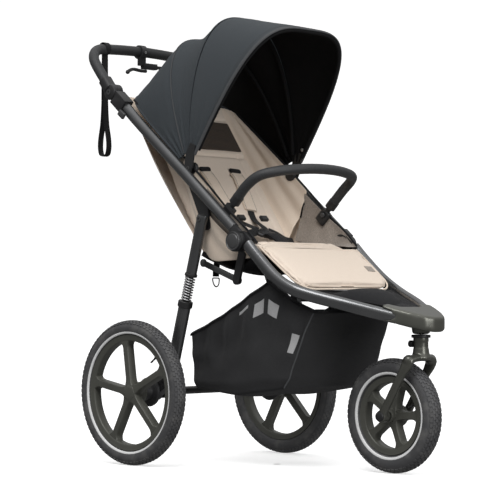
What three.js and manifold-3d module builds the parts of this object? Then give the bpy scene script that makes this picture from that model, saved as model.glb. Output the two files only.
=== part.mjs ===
// A three-wheeled jogging stroller, in millimetres. +Z is up, the front wheel is towards -Y, and +X is the
// child's left. The origin is on the ground, under the middle of the stroller's bounding box.
import * as THREE from 'three';
import { mergeVertices } from 'three/addons/utils/BufferGeometryUtils.js';
import Module from 'manifold-3d';

const wasm = await Module();
wasm.setup();

// Driving dimensions. A point in the side view is [y, z].
const rearWheel = { x: 306, y: 285, radius: 200, tyreRadius: 22, hubReach: 31, firstSpoke: -8 };
const frontWheel = { y: -396, radius: 151.5, tyreRadius: 26, hubReach: 27, firstSpoke: 16 };
const foldPivot = [-35, 613];
const legPivot = [100, 662];
const legLinkPivot = [127, 557];
const tubeX = 217;
const legX = 222;
const tubeRadius = 16;
const handleJoint = [462, 1050];
const handleReach = 180;
const handleHalfWidth = 225;
const handleTubeRadius = 15;
const swivelY = -488;
const canopyPivot = [157, 818];
const canopyHalfWidth = 216;
const fabric = 5;
const gap = 0.4;

// The rear legs lean back as they go down. The suspension slides along them.
const legTop = [93, 690];
const legFoot = [195, 331];
const legRun = Math.hypot(legFoot[0] - legTop[0], legFoot[1] - legTop[1]);
const legDirection = [(legFoot[0] - legTop[0]) / legRun, (legFoot[1] - legTop[1]) / legRun];
const legLength = 175;
const stemLength = 310;
const springEnd = 246;
const sleeveEnd = 478;

// The fold linkage is a parallelogram: the frame pivots and the link pivots make equal and parallel sides.
const frameLinkPivot = [
  legLinkPivot[0] - (legPivot[0] - foldPivot[0]),
  legLinkPivot[1] - (legPivot[1] - foldPivot[1]),
];

const tubeDirection = [0.768, 0.64];
const knuckleRadius = 28.5;
const knuckleReach = 32;
const upperTubePath = [nearPivot(knuckleReach + 1, tubeRadius), [155, 792], [371, 968], [442, 1031]];
const lowerTubePath = [
  [-217, ...nearPivot(-knuckleReach - 2, tubeRadius)], [-217, -90, 585], [-217, -130, 549], [-217, -166, 519],
  [-214, -201, 496], [-206, -236, 479], [-190, -271, 467], [-146, -355, 443], [-101, -424, 422],
  [-73, -466, 410],
];

const frameMetal = material('#45464a', 0.42, 0.75);
const blackPlastic = material('#1d1e20', 0.5, 0.05);
const hubPlastic = material('#4a4a45', 0.45, 0.3);
const rimPlastic = material('#3f4140', 0.5, 0.1);
const tyreRubber = material('#4b4b4d', 0.85, 0);
const leather = material('#2f3133', 0.7, 0);
const canopyFabric = material('#3d4146', 0.9, 0);
const blackFabric = material('#17181a', 0.92, 0);
const beigeFabric = material('#dccbb9', 0.9, 0);
const meshFabric = material('#8d8276', 0.95, 0);
const springSteel = material('#6f7276', 0.35, 0.9);

const group = new THREE.Group();
group.name = 'jogging_stroller';

function unit(vector) {
  const length = Math.hypot(...vector);
  return vector.map((value) => value / length);
}

// A side-view point in the fold pivot's own axes: along the upper tube, and square to it.
function nearPivot(along, above) {
  const [ty, tz] = tubeDirection;
  return [foldPivot[0] + ty * along - tz * above, foldPivot[1] + tz * along + ty * above];
}

function material(color, roughness, metalness) {
  return new THREE.MeshStandardMaterial({ color, roughness, metalness });
}

function add(name, geometry, surface) {
  const mesh = new THREE.Mesh(geometry, surface);
  mesh.name = name;
  group.add(mesh);
  return mesh;
}

// Adds a left and a right copy of a piece that is drawn on the -X side, the child's right.
function addPair(name, geometry, surface) {
  add(`${name}_right`, geometry, surface);
  add(`${name}_left`, mirrorX(geometry), surface);
}

function mirrorX(geometry) {
  const mirrored = geometry.index ? geometry.toNonIndexed() : geometry.clone();
  mirrored.scale(-1, 1, 1);
  const position = mirrored.attributes.position;
  const first = new THREE.Vector3();
  const last = new THREE.Vector3();
  for (let i = 0; i < position.count; i += 3) {
    first.fromBufferAttribute(position, i);
    last.fromBufferAttribute(position, i + 2);
    position.setXYZ(i, last.x, last.y, last.z);
    position.setXYZ(i + 2, first.x, first.y, first.z);
  }
  mirrored.computeVertexNormals();
  return mirrored;
}

function toSolid(geometry) {
  const bare = geometry.clone();
  bare.deleteAttribute('normal');
  bare.deleteAttribute('uv');
  const merged = mergeVertices(bare, 1e-4);
  return new wasm.Manifold(new wasm.Mesh({
    numProp: 3,
    vertProperties: new Float32Array(merged.attributes.position.array),
    triVerts: new Uint32Array(merged.index.array),
  }));
}

function fromSolid(solid) {
  const mesh = solid.getMesh();
  const geometry = new THREE.BufferGeometry();
  geometry.setAttribute('position', new THREE.BufferAttribute(new Float32Array(mesh.vertProperties), 3));
  geometry.setIndex(new THREE.BufferAttribute(new Uint32Array(mesh.triVerts), 1));
  geometry.computeVertexNormals();
  return geometry;
}

function join(...geometries) {
  return fromSolid(geometries.map(toSolid).reduce((whole, piece) => whole.add(piece)));
}

function cut(geometry, ...tools) {
  return fromSolid(tools.map(toSolid).reduce((whole, tool) => whole.subtract(tool), toSolid(geometry)));
}

function overlapOf(first, second) {
  return fromSolid(toSolid(first).intersect(toSolid(second)));
}

function outline(points) {
  return new THREE.Shape(points.map(([a, b]) => new THREE.Vector2(a, b)));
}

// Extrudes a side-view outline of [y, z] points from x = from to x = to.
function sidePlate(points, from, to) {
  const geometry = new THREE.ExtrudeGeometry(outline(points), { depth: to - from, bevelEnabled: false });
  geometry.rotateX(Math.PI / 2);
  geometry.rotateZ(Math.PI / 2);
  geometry.translate(from, 0, 0);
  return geometry;
}

// Extrudes a plan-view outline of [x, y] points upwards from z = from to z = to.
function planPlate(points, from, to) {
  const geometry = new THREE.ExtrudeGeometry(outline(points), { depth: to - from, bevelEnabled: false });
  geometry.translate(0, 0, from);
  return geometry;
}

// Makes a flat piece rise towards +Y.
function slope(geometry, rise) {
  return geometry.applyMatrix4(new THREE.Matrix4().makeShear(0, 0, 0, rise, 0, 0));
}

// A cylinder along X around a side-view point.
function crossCylinder([y, z], radius, from, to, sides = 24) {
  const geometry = new THREE.CylinderGeometry(radius, radius, to - from, sides);
  geometry.rotateZ(Math.PI / 2);
  geometry.translate((from + to) / 2, y, z);
  return geometry;
}

// Sweeps an ellipse along a smooth path of [x, y, z] points.
function sweep(points, across, high, steps, sides = 12) {
  const corners = points.map((point) => new THREE.Vector3(...point));
  const path = new THREE.CatmullRomCurve3(corners, false, 'centripetal');
  const section = new THREE.Shape(ellipse(across, high, sides));
  return new THREE.ExtrudeGeometry(section, { steps, bevelEnabled: false, extrudePath: path });
}

function ellipse(across, high, sides) {
  return Array.from({ length: sides }, (_, i) => {
    const angle = ((i + 0.5) / sides) * 2 * Math.PI;
    return new THREE.Vector2(across * Math.cos(angle), high * Math.sin(angle));
  });
}

// A straight bar between two side-view points at one x, with round ends when capped by crossCylinder.
function barOutline([y0, z0], [y1, z1], halfWidth) {
  const [uy, uz] = unit([y1 - y0, z1 - z0]);
  const [ny, nz] = [-uz * halfWidth, uy * halfWidth];
  return [[y0 - ny, z0 - nz], [y1 - ny, z1 - nz], [y1 + ny, z1 + nz], [y0 + ny, z0 + nz]];
}

// A point on a rear leg, this far below its top and this far behind its axis.
function onLeg(distance, behind = 0) {
  const [dy, dz] = legDirection;
  return [legTop[0] + dy * distance - dz * behind, legTop[1] + dz * distance + dy * behind];
}

// A straight piece around the leg's axis, given by its section.
function alongLeg(across, high, from, to, sides = 16) {
  const [y0, z0] = onLeg(from);
  const [y1, z1] = onLeg(to);
  return sweep([[-legX, y0, z0], [-legX, y1, z1]], across, high, 1, sides);
}

// The end of a U-shaped bar: out from its side mount, round the corner and across to the middle.
function uBarPath([y0, z0], [y1, z1], halfWidth, corner, lift, steps = 5) {
  const reach = Math.hypot(y1 - y0, z1 - z0);
  const [uy, uz] = unit([y1 - y0, z1 - z0]);
  const half = [[-halfWidth, y0, z0]];
  for (let i = 0; i <= steps; i += 1) {
    const turn = (i / steps) * (Math.PI / 2);
    const out = reach - corner + corner * Math.sin(turn);
    half.push([-halfWidth + corner * (1 - Math.cos(turn)), y0 + uy * out, z0 + uz * out]);
  }
  const middle = [0, y1 + uy * lift, z1 + uz * lift];
  return [...half, middle, ...half.map(([x, y, z]) => [-x, y, z]).reverse()];
}

// The right upper tube, made thicker by this much for the pieces that clamp round it.
function tubeSweep(grow) {
  return sweep(upperTubePath.map(([y, z]) => [-tubeX, y, z]), 14 + grow, tubeRadius + grow, 12);
}

// A canopy bow is a rounded arch in a plane through the canopy's pivot line.
function bowPoint(bow, turn, grow = 0) {
  const across = Math.cos(turn);
  const out = Math.sin(turn);
  const x = -Math.sign(across) * Math.abs(across) ** (2 / bow.roundness) * (canopyHalfWidth + grow);
  const radius = out ** (2 / bow.roundness) * (bow.radius + grow);
  const angle = THREE.MathUtils.degToRad(bow.angle);
  return [x, canopyPivot[0] - Math.cos(angle) * radius, canopyPivot[1] + Math.sin(angle) * radius];
}

// Wheels

function ring(profile, sides) {
  const closed = [...profile, profile[0]].map(([r, w]) => new THREE.Vector2(r, w));
  const geometry = new THREE.LatheGeometry(closed, sides);
  geometry.rotateZ(-Math.PI / 2);
  return geometry;
}

function tyreGeometry(radius, minor, sides) {
  const profile = [];
  const around = 10;
  for (let i = 0; i < around; i += 1) {
    const angle = (i / around) * 2 * Math.PI;
    profile.push([radius - minor + minor * Math.cos(angle), minor * Math.sin(angle)]);
  }
  return ring(profile, sides);
}

// A moulded wheel: a rim channel, five tapered spokes and a hub. The first spoke's angle is from upright.
function rimGeometry({ radius, tyreRadius: minor, hubReach, firstSpoke }, sides) {
  const rimOuter = radius - 2 * minor - gap;
  const rimInner = rimOuter - 13;
  const half = minor * 0.62;
  const rim = ring([[rimInner, -half], [rimOuter, -half], [rimOuter, half], [rimInner, half]], sides);
  const pieces = [rim, new THREE.CylinderGeometry(29, 29, 2 * hubReach, 24).rotateZ(Math.PI / 2)];
  for (let i = 0; i < 5; i += 1) {
    const spoke = sidePlate([[-17, 12], [17, 12], [12, rimInner + 4], [-12, rimInner + 4]], -9, 9);
    spoke.rotateX(THREE.MathUtils.degToRad(firstSpoke + 72 * i));
    pieces.push(spoke);
  }
  return join(...pieces);
}

function addWheel(name, x, y, wheel, sides) {
  const tyre = add(`${name}_tyre`, tyreGeometry(wheel.radius, wheel.tyreRadius, sides), tyreRubber);
  const rim = add(`${name}_rim`, rimGeometry(wheel, sides), rimPlastic);
  tyre.position.set(x, y, wheel.radius);
  rim.position.set(x, y, wheel.radius);
}

addWheel('rear_wheel_right', -rearWheel.x, rearWheel.y, rearWheel, 36);
addWheel('rear_wheel_left', rearWheel.x, rearWheel.y, rearWheel, 36);
addWheel('front_wheel', 0, frontWheel.y, frontWheel, 32);

// Lower frame: two tubes that bend in to the front hub, and the fixed halves of the fold knuckles.

addPair('lower_tube', sweep(lowerTubePath, 13, 17, 22), frameMetal);

const hubOutline = [
  [-62, -424], [-102, -438], [-90, -466], [-66, -506], [-40, -536], [-15, -548],
  [15, -548], [40, -536], [66, -506], [90, -466], [102, -438], [62, -424], [45, -452], [-45, -452],
];
const hubSlope = 0.3;
const hubBody = slope(planPlate(hubOutline, -21, 21), hubSlope).translate(0, 0, 408 - hubSlope * swivelY);
const tubeSocket = sweep(lowerTubePath, 13 + gap, 17 + gap, 22);
const hubNeck = new THREE.CylinderGeometry(26, 24, 40, 24).rotateX(Math.PI / 2).translate(0, swivelY, 386);
add('front_hub', cut(join(hubBody, hubNeck), tubeSocket, mirrorX(tubeSocket)), hubPlastic);

const knuckleLower = join(
  crossCylinder(foldPivot, knuckleRadius, -tubeX + gap, -197, 28),
  sidePlate([nearPivot(-knuckleReach, 0), nearPivot(-1, 0), nearPivot(-1, 32), nearPivot(-knuckleReach, 32)],
    -tubeX + gap, -198),
  sidePlate(barOutline(nearPivot(-6, -6), frameLinkPivot, 12), -198, -190),
  crossCylinder(frameLinkPivot, 12, -198, -190, 16),
);
addPair('fold_knuckle_lower', knuckleLower, blackPlastic);

add('footrest_bar', crossCylinder([-234, 459], 8.5, -191, 191, 16), frameMetal);

// Upper frame: the tubes carry the leg brackets, the moving halves of the knuckles and the handle joints.

const bracketOutline = [
  [92, 728], [156, 781], [168, 770], [legPivot[0] + 16, legPivot[1]], [legPivot[0] - 16, legPivot[1]],
];
const upperTube = tubeSweep(0);
const legBracket = join(
  sidePlate(bracketOutline, -206, -197),
  crossCylinder(legPivot, 16, -206, -197, 20),
);
addPair('upper_tube', join(upperTube, legBracket), frameMetal);

const knuckleUpper = join(
  crossCylinder(foldPivot, knuckleRadius, -231, -tubeX - gap, 28),
  sidePlate([nearPivot(1, 0), nearPivot(knuckleReach, 0), nearPivot(knuckleReach, 32), nearPivot(1, 32)],
    -231, -tubeX - gap),
  crossCylinder(foldPivot, 25.5, -238, -230, 28),
);
addPair('fold_knuckle_upper', knuckleUpper, blackPlastic);

const jointRadius = 23;
const jointBody = join(
  crossCylinder(handleJoint, jointRadius, -tubeX - 4 + gap, -202, 24),
  cut(
    sidePlate(barOutline([408, 1003], [447, 1036], 20), -235, -202),
    crossCylinder(handleJoint, jointRadius + 1, -250, -tubeX - 4, 24),
  ),
);
const buttonHole = crossCylinder(handleJoint, 13 + gap, -206, -190, 20);
addPair('handle_joint', cut(jointBody, tubeSweep(gap), buttonHole), blackPlastic);

add('fold_slider', sidePlate(barOutline([398, 974], [418, 990], 9), -241, -231.5), blackPlastic);

// Rear legs, links and the sprung axle.

const leg = join(
  alongLeg(13, 17, 0, legLength),
  alongLeg(9, 9, legLength - 2, stemLength, 16),
  crossCylinder(legLinkPivot, 10, -212, -190, 16),
);
addPair('rear_leg', leg, frameMetal);

const linkBar = join(
  sidePlate(barOutline(frameLinkPivot, legLinkPivot, 8), -189.6, -184.6),
  crossCylinder(frameLinkPivot, 11, -189.6, -184.6, 16),
  crossCylinder(legLinkPivot, 11, -189.6, -184.6, 16),
);
addPair('fold_link', linkBar, frameMetal);

const spring = cut(
  alongLeg(15.5, 15.5, legLength + 1, springEnd),
  alongLeg(10, 10, legLength - 4, springEnd + 4),
);
addPair('suspension_spring', spring, springSteel);

const axle = [rearWheel.y, rearWheel.radius];
const sleeve = cut(
  alongLeg(15, 19, springEnd + 1, sleeveEnd),
  alongLeg(9 + gap, 9 + gap, springEnd - 5, stemLength + 25, 16),
);
const axleArm = join(
  sidePlate([onLeg(430, -15), onLeg(430, 12), [axle[0] + 14, axle[1] + 22], [axle[0] + 22, axle[1] - 8],
    [axle[0] - 4, axle[1] - 22], onLeg(sleeveEnd, -15)], -235, -211),
  crossCylinder(axle, 24, -(rearWheel.x - rearWheel.hubReach - gap), -211, 24),
);
const rightHalf = join(sleeve, axleArm);
add('rear_axle', join(rightHalf, mirrorX(rightHalf), crossCylinder(axle, 11, -215, 215, 16)), blackPlastic);

const pedal = join(
  cut(crossCylinder(axle, 19, -196, -160, 20), crossCylinder(axle, 11 + gap, -200, -150, 16)),
  sidePlate([[axle[0] + 12, axle[1] + 14], [axle[0] + 66, axle[1] - 4], [axle[0] + 66, axle[1] - 16],
    [axle[0] + 14, axle[1] - 6]], -198, -158),
);
add('parking_brake_pedal', cut(pedal, crossCylinder(axle, 11 + gap, -205, -150, 16)), blackPlastic);

// Front fork: a swivel post and two arms that trail back to the axle.

const forkPost = new THREE.CylinderGeometry(20, 22, 62, 24).rotateX(Math.PI / 2).translate(0, swivelY, 334.6);
const forkCrown = planPlate([[-56, -470], [-50, -508], [-22, -518], [22, -518], [50, -508], [56, -470],
  [56, -464], [-56, -464]], 293, 312);
const forkArm = sidePlate([[-508, 311], [-466, 311], [-452, 268], [frontWheel.y + 12, 166],
  [frontWheel.y + 12, 140], [frontWheel.y - 12, 140], [frontWheel.y - 14, 158], [-482, 262]], -56, -42);
const dropout = crossCylinder([frontWheel.y, frontWheel.radius], 17, -58, -(frontWheel.hubReach + gap), 20);
add('fork', join(forkPost, forkCrown, forkArm, mirrorX(forkArm), dropout, mirrorX(dropout)), hubPlastic);

const lockKnob = new THREE.CylinderGeometry(9, 9, 16, 16).translate(0, swivelY + 29.6, 341);
add('swivel_lock_knob', lockKnob, blackPlastic);

// Handle: a U-shaped bar on two tilting joints, with a brake lever hung under it.

const handleAngle = THREE.MathUtils.degToRad(51);

// A side-view point on the handle, this far from the joint.
function onHandle(along) {
  return [handleJoint[0] + Math.cos(handleAngle) * along, handleJoint[1] + Math.sin(handleAngle) * along];
}
const handleTop = onHandle(handleReach);
const handlePath = uBarPath(onHandle(26), handleTop, handleHalfWidth, 74, 8);
const handleEar = cut(
  join(
    crossCylinder(handleJoint, jointRadius, -238, -tubeX - 4 - gap, 24),
    sidePlate(barOutline(onHandle(8), onHandle(48), 18), -243, -207),
  ),
  crossCylinder(handleJoint, jointRadius + 1, -tubeX - 4 - gap, -190, 24),
);
function handleSweep(grow) {
  return sweep(handlePath, handleTubeRadius + grow, handleTubeRadius + grow, 34);
}
add('handle', join(handleSweep(0), handleEar, mirrorX(handleEar)), leather);
addPair('handle_button', crossCylinder(handleJoint, 13, -202.4, -195, 20), blackPlastic);

// The brake lever is clamped at the middle of the bar. Its cable leaves to one side, its blade to the other.
const leverX = -5;
const [clampY, clampZ] = onHandle(handleReach + 6);
const clamp = cut(
  crossCylinder([clampY, clampZ], 21, leverX - 10, leverX + 10, 20),
  handleSweep(gap),
);

// A block under the bar, between two heights below its axis.
function underBar(from, to, left, right) {
  return sidePlate([[clampY - 11, clampZ - from], [clampY + 5, clampZ - from], [clampY + 5, clampZ - to],
    [clampY - 11, clampZ - to]], leverX + left, leverX + right);
}
const cableBarrel = new THREE.CylinderGeometry(5, 5, 34, 12).rotateZ(Math.PI / 2)
  .translate(leverX + 70, clampY - 4, clampZ - 41);
const leverBlock = join(underBar(17, 40, -9, 11), underBar(32, 49, 4, 58), cableBarrel);
add('brake_lever_clamp', join(clamp, leverBlock), blackPlastic);

const leverPath = [[17, 4, 55.5], [-6, 6, 56], [-44, 12, 55], [-68, 18, 64]]
  .map(([x, forward, down]) => [leverX + x, clampY - forward, clampZ - down]);
const leverBall = new THREE.SphereGeometry(6.5, 12, 8).translate(leverX - 70, clampY - 19, clampZ - 66);
add('brake_lever', join(sweep(leverPath, 5, 5.5, 8, 10), leverBall), blackPlastic);

// The wrist strap is sewn round the bar and hangs as a long loop.
const strapX = -150;
const strapTop = onHandle(handleReach + 3);
const strapFoot = 875;
// Extrudes an outline that is even on both sides of the strap's middle, from its front half.
function strapOutline(frontHalf, from, to) {
  const rearHalf = frontHalf.map(([y, z]) => [-y, z]).reverse();
  return sidePlate([...frontHalf, ...rearHalf].map(([y, z]) => [strapTop[0] + y, z]), from, to);
}
const strapLoop = cut(
  strapOutline([[-3, strapTop[1] - 16], [-5, 990], [-19, 900], [-12, strapFoot]], strapX - 10, strapX + 10),
  strapOutline([[0, 975], [-15, 901], [-9, strapFoot + 4]], strapX - 20, strapX + 20),
);
const strapRing = crossCylinder(strapTop, 19, strapX - 10, strapX + 10, 20);
add('wrist_strap', cut(join(strapRing, strapLoop), handleSweep(gap)), blackFabric);

// Bumper bar

const bumperMount = [21, 697];
// One half of the bar, from its mount on the child's right to the middle.
const bumperHalf = [[-194, 0, 719], [-194, -46, 763], [-185, -84, 788], [-152, -118, 800], [-84, -143, 808]];
const bumperPath = [...bumperHalf, [0, -152, 811], ...bumperHalf.map(([x, y, z]) => [-x, y, z]).reverse()];
const [mountY, mountZ] = bumperMount;
const mountOutline = barOutline([mountY + 20, mountZ - 19], [mountY - 11, mountZ + 11], 16);
const mountBlock = sidePlate(mountOutline, -202, -187);
const buttonPocket = crossCylinder(bumperMount, 7 + gap, -191, -180, 16);
addPair('bumper_mount', cut(mountBlock, tubeSweep(gap), buttonPocket), blackPlastic);
add('bumper_bar', sweep(bumperPath, 14, 14, 30), leather);
addPair('bumper_button', crossCylinder(bumperMount, 7, -187.4, -182, 16), blackPlastic);

// Canopy: three bows, and a fabric panel behind each.

const frontBow = { angle: 56, radius: 458, roundness: 3.6 };
const middleBow = { angle: 91, radius: 437, roundness: 2.4 };
const rearBow = { angle: 112, radius: 418, roundness: 2.6 };
const rearEdge = { angle: 137, radius: 350, roundness: 6 };

// The turn at which a bow is this far from the pivot line.
function startTurn(bow, distance) {
  return Math.asin((distance / bow.radius) ** (bow.roundness / 2));
}

function bowGeometry(bow) {
  const points = [];
  const start = startTurn(bow, 90);
  for (let i = 0; i <= 12; i += 1) {
    points.push(bowPoint(bow, start + (i / 12) * (Math.PI - 2 * start), -fabric - 6));
  }
  return sweep(points, 4.5, 4.5, 24, 8);
}

// A curved fabric shell that is stretched between two bows and sags between them.
function panelGeometry(from, to, sag) {
  const rows = 4;
  const columns = 20;
  const layers = [0, -fabric];
  const vertices = [];
  const indices = [];
  const stride = columns + 1;
  for (const layer of layers) {
    for (let row = 0; row <= rows; row += 1) {
      const share = row / rows;
      const bow = {
        angle: from.angle + (to.angle - from.angle) * (0.03 + share * 0.94),
        radius: from.radius + (to.radius - from.radius) * share - sag * Math.sin(Math.PI * share),
        roundness: from.roundness + (to.roundness - from.roundness) * share,
      };
      const start = startTurn(bow, 42);
      for (let i = 0; i <= columns; i += 1) {
        vertices.push(...bowPoint(bow, start + (i / columns) * (Math.PI - 2 * start), layer));
      }
    }
  }
  const at = (layer, row, i) => (layer * (rows + 1) + row) * stride + i;
  const quad = (a, b, c, d) => indices.push(a, b, c, a, c, d);
  for (let row = 0; row < rows; row += 1) {
    for (let i = 0; i < columns; i += 1) {
      quad(at(0, row, i), at(0, row, i + 1), at(0, row + 1, i + 1), at(0, row + 1, i));
      quad(at(1, row, i), at(1, row + 1, i), at(1, row + 1, i + 1), at(1, row, i + 1));
    }
    quad(at(0, row, 0), at(0, row + 1, 0), at(1, row + 1, 0), at(1, row, 0));
    quad(at(0, row, columns), at(1, row, columns), at(1, row + 1, columns), at(0, row + 1, columns));
  }
  for (let i = 0; i < columns; i += 1) {
    quad(at(0, 0, i), at(1, 0, i), at(1, 0, i + 1), at(0, 0, i + 1));
    quad(at(0, rows, i), at(0, rows, i + 1), at(1, rows, i + 1), at(1, rows, i));
  }
  const geometry = new THREE.BufferGeometry();
  geometry.setAttribute('position', new THREE.Float32BufferAttribute(vertices, 3));
  geometry.setIndex(indices);
  geometry.computeVertexNormals();
  return geometry;
}

add('canopy_front_bow', bowGeometry(frontBow), blackPlastic);
add('canopy_middle_bow', bowGeometry(middleBow), blackPlastic);
add('canopy_rear_bow', bowGeometry(rearBow), blackPlastic);
add('canopy_front_panel', panelGeometry(frontBow, middleBow, 18), canopyFabric);
add('canopy_middle_panel', panelGeometry(middleBow, rearBow, 26), canopyFabric);
add('canopy_rear_panel', panelGeometry(rearBow, rearEdge, 22), canopyFabric);
addPair('canopy_hinge', crossCylinder(canopyPivot, 17, -203 + gap, -192, 20), blackPlastic);

// Seat

add('seat_cushion', sidePlate([[-84, 604], [-60, 611], [20, 603], [95, 612], [112, 600], [104, 580], [0, 571],
  [-76, 580], [-88, 592]], -172, 172), beigeFabric);
add('backrest', sidePlate([[116, 622], [250, 818], [398, 1034], [420, 1046], [440, 1036], [322, 828],
  [226, 690], [150, 592], [128, 582], [116, 596]], -172, 172), beigeFabric);
add('seat_sling', sidePlate([[-62, 572], [104, 566], [112, 552], [70, 526], [30, 511], [-20, 506], [-58, 516],
  [-76, 542]], -180, 180), blackFabric);
addPair('side_panel', sidePlate([[-60, 588], [112, 582], [146, 606], [430, 1006], [412, 984], [20, 660],
  [-24, 622]], -186, -181), meshFabric);
add('harness_buckle', sidePlate([[50, 628], [92, 634], [96, 668], [58, 662]], -26, 26), blackPlastic);

const calfSlope = [600 - 487, 94 - 240];
const calfTop = [-97, 598];
const calfLength = 186;
const calfPad = planPlate([[-195, 0], [195, 0], [195, -90], [188, -145], [160, -calfLength],
  [-160, -calfLength], [-188, -145], [-195, -90]], -10, 10);
calfPad.rotateX(Math.atan2(calfSlope[0], -calfSlope[1])).translate(0, calfTop[0] + 3, calfTop[1] - 8);
add('calf_pad', calfPad, beigeFabric);

const footrestPanel = planPlate([[-176, -246], [176, -246], [170, -262], [126, -352], [80, -424], [-80, -424],
  [-126, -352], [-170, -262]], -3, 3);
const footrestSlope = 0.22;
slope(footrestPanel, footrestSlope).translate(0, 0, 472 + footrestSlope * 246);
add('footrest_panel', footrestPanel, blackFabric);

add('recline_strap', sidePlate([[126, 581], [131, 581], [138, 520], [133, 520]], -142, -118), blackFabric);
add('strap_ring', cut(
  new THREE.TorusGeometry(13, 2, 6, 16).rotateY(Math.PI / 2).rotateZ(Math.PI / 2).translate(-130, 136, 505),
  sidePlate([[120, 520 - gap], [150, 520 - gap], [150, 530], [120, 530]], -150, -110),
), springSteel);

// Basket: an open-topped bag that narrows to the front, with high sides.

function basketBody(inset, rise) {
  const side = sidePlate([
    [165 - inset, 360 + rise], [158 - inset, 214 + inset], [0, 201 + inset], [-175 + inset, 221 + inset],
    [-258 + inset, 424 + rise], [-121, 503 + rise],
  ], -210, 210);
  const plan = planPlate([
    [-198 + inset, 200], [198 - inset, 200], [198 - inset, -60], [150 - inset, -300], [-150 + inset, -300],
    [-198 + inset, -60],
  ].reverse(), 150, 600);
  return overlapOf(side, plan);
}
add('basket', cut(basketBody(0, 0), basketBody(5, 30)), blackFabric);

// Puts the origin under the middle of the bounding box.
const originShift = 26.03;
group.position.set(0, -originShift, 0);

export default group;
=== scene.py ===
import bmesh
import bpy
import math
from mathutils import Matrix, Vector, noise


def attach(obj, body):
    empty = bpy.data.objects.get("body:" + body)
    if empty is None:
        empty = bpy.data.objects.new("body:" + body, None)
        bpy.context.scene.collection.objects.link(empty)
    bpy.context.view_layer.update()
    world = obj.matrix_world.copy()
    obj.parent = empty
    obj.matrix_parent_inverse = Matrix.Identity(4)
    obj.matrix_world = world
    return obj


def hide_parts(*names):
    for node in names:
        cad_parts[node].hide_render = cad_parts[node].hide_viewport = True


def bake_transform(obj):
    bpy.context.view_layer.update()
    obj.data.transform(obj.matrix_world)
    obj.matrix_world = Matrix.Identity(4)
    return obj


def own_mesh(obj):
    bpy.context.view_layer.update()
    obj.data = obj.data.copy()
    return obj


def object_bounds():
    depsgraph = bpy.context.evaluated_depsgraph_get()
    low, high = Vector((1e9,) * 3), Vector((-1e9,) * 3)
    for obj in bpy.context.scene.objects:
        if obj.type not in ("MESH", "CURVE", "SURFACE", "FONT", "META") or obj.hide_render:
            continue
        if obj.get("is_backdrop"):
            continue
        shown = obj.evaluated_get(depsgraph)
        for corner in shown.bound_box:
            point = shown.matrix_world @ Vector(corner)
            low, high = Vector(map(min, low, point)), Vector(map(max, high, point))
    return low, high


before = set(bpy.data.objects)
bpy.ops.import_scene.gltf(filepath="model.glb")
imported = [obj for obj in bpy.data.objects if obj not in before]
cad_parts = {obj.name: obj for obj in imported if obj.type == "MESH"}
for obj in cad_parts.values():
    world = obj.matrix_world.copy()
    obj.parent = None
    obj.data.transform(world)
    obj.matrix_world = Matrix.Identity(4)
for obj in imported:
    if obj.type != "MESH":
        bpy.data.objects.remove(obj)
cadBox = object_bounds()
print("frame loaded:", len(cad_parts), "nodes")

originShift = 26.03  # the drawings below are in mm, with Y measured from a point this far in front of the origin


def at(x, y, z):
    return Vector((x, y - originShift, z)) / 1000


def mix(a, b, share):
    return a + (b - a) * share


def smoothStep(low, high, value):
    share = min(max((value - low) / (high - low), 0), 1)
    return share * share * (3 - 2 * share)


class Value:
    # wraps a socket, so that shader maths reads as ordinary maths
    def __init__(self, finish, socket):
        self.finish = finish
        self.socket = socket

    def maths(self, operation, *values):
        return self.finish.node("ShaderNodeMath", {"operation": operation}, dict(enumerate(values)))

    def __add__(self, other):
        return self.maths("ADD", self, other)

    def __radd__(self, other):
        return self.maths("ADD", other, self)

    def __sub__(self, other):
        return self.maths("SUBTRACT", self, other)

    def __rsub__(self, other):
        return self.maths("SUBTRACT", other, self)

    def __mul__(self, other):
        return self.maths("MULTIPLY", self, other)

    def __rmul__(self, other):
        return self.maths("MULTIPLY", other, self)

    def __truediv__(self, other):
        return self.maths("DIVIDE", self, other)

    def __rtruediv__(self, other):
        return self.maths("DIVIDE", other, self)

    def __gt__(self, other):
        return self.maths("GREATER_THAN", self, other)

    def __lt__(self, other):
        return self.maths("LESS_THAN", self, other)

    def sine(self):
        return self.maths("SINE", self)

    def size(self):
        return self.maths("ABSOLUTE", self)

    def power(self, exponent):
        return self.maths("POWER", self, exponent)

    def ramp(self, low, high):  # 0 below low, 1 above high, smooth between
        return self.finish.node("ShaderNodeMapRange", {"interpolation_type": "SMOOTHSTEP"},
                                {"Value": self, "From Min": low, "From Max": high})


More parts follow.
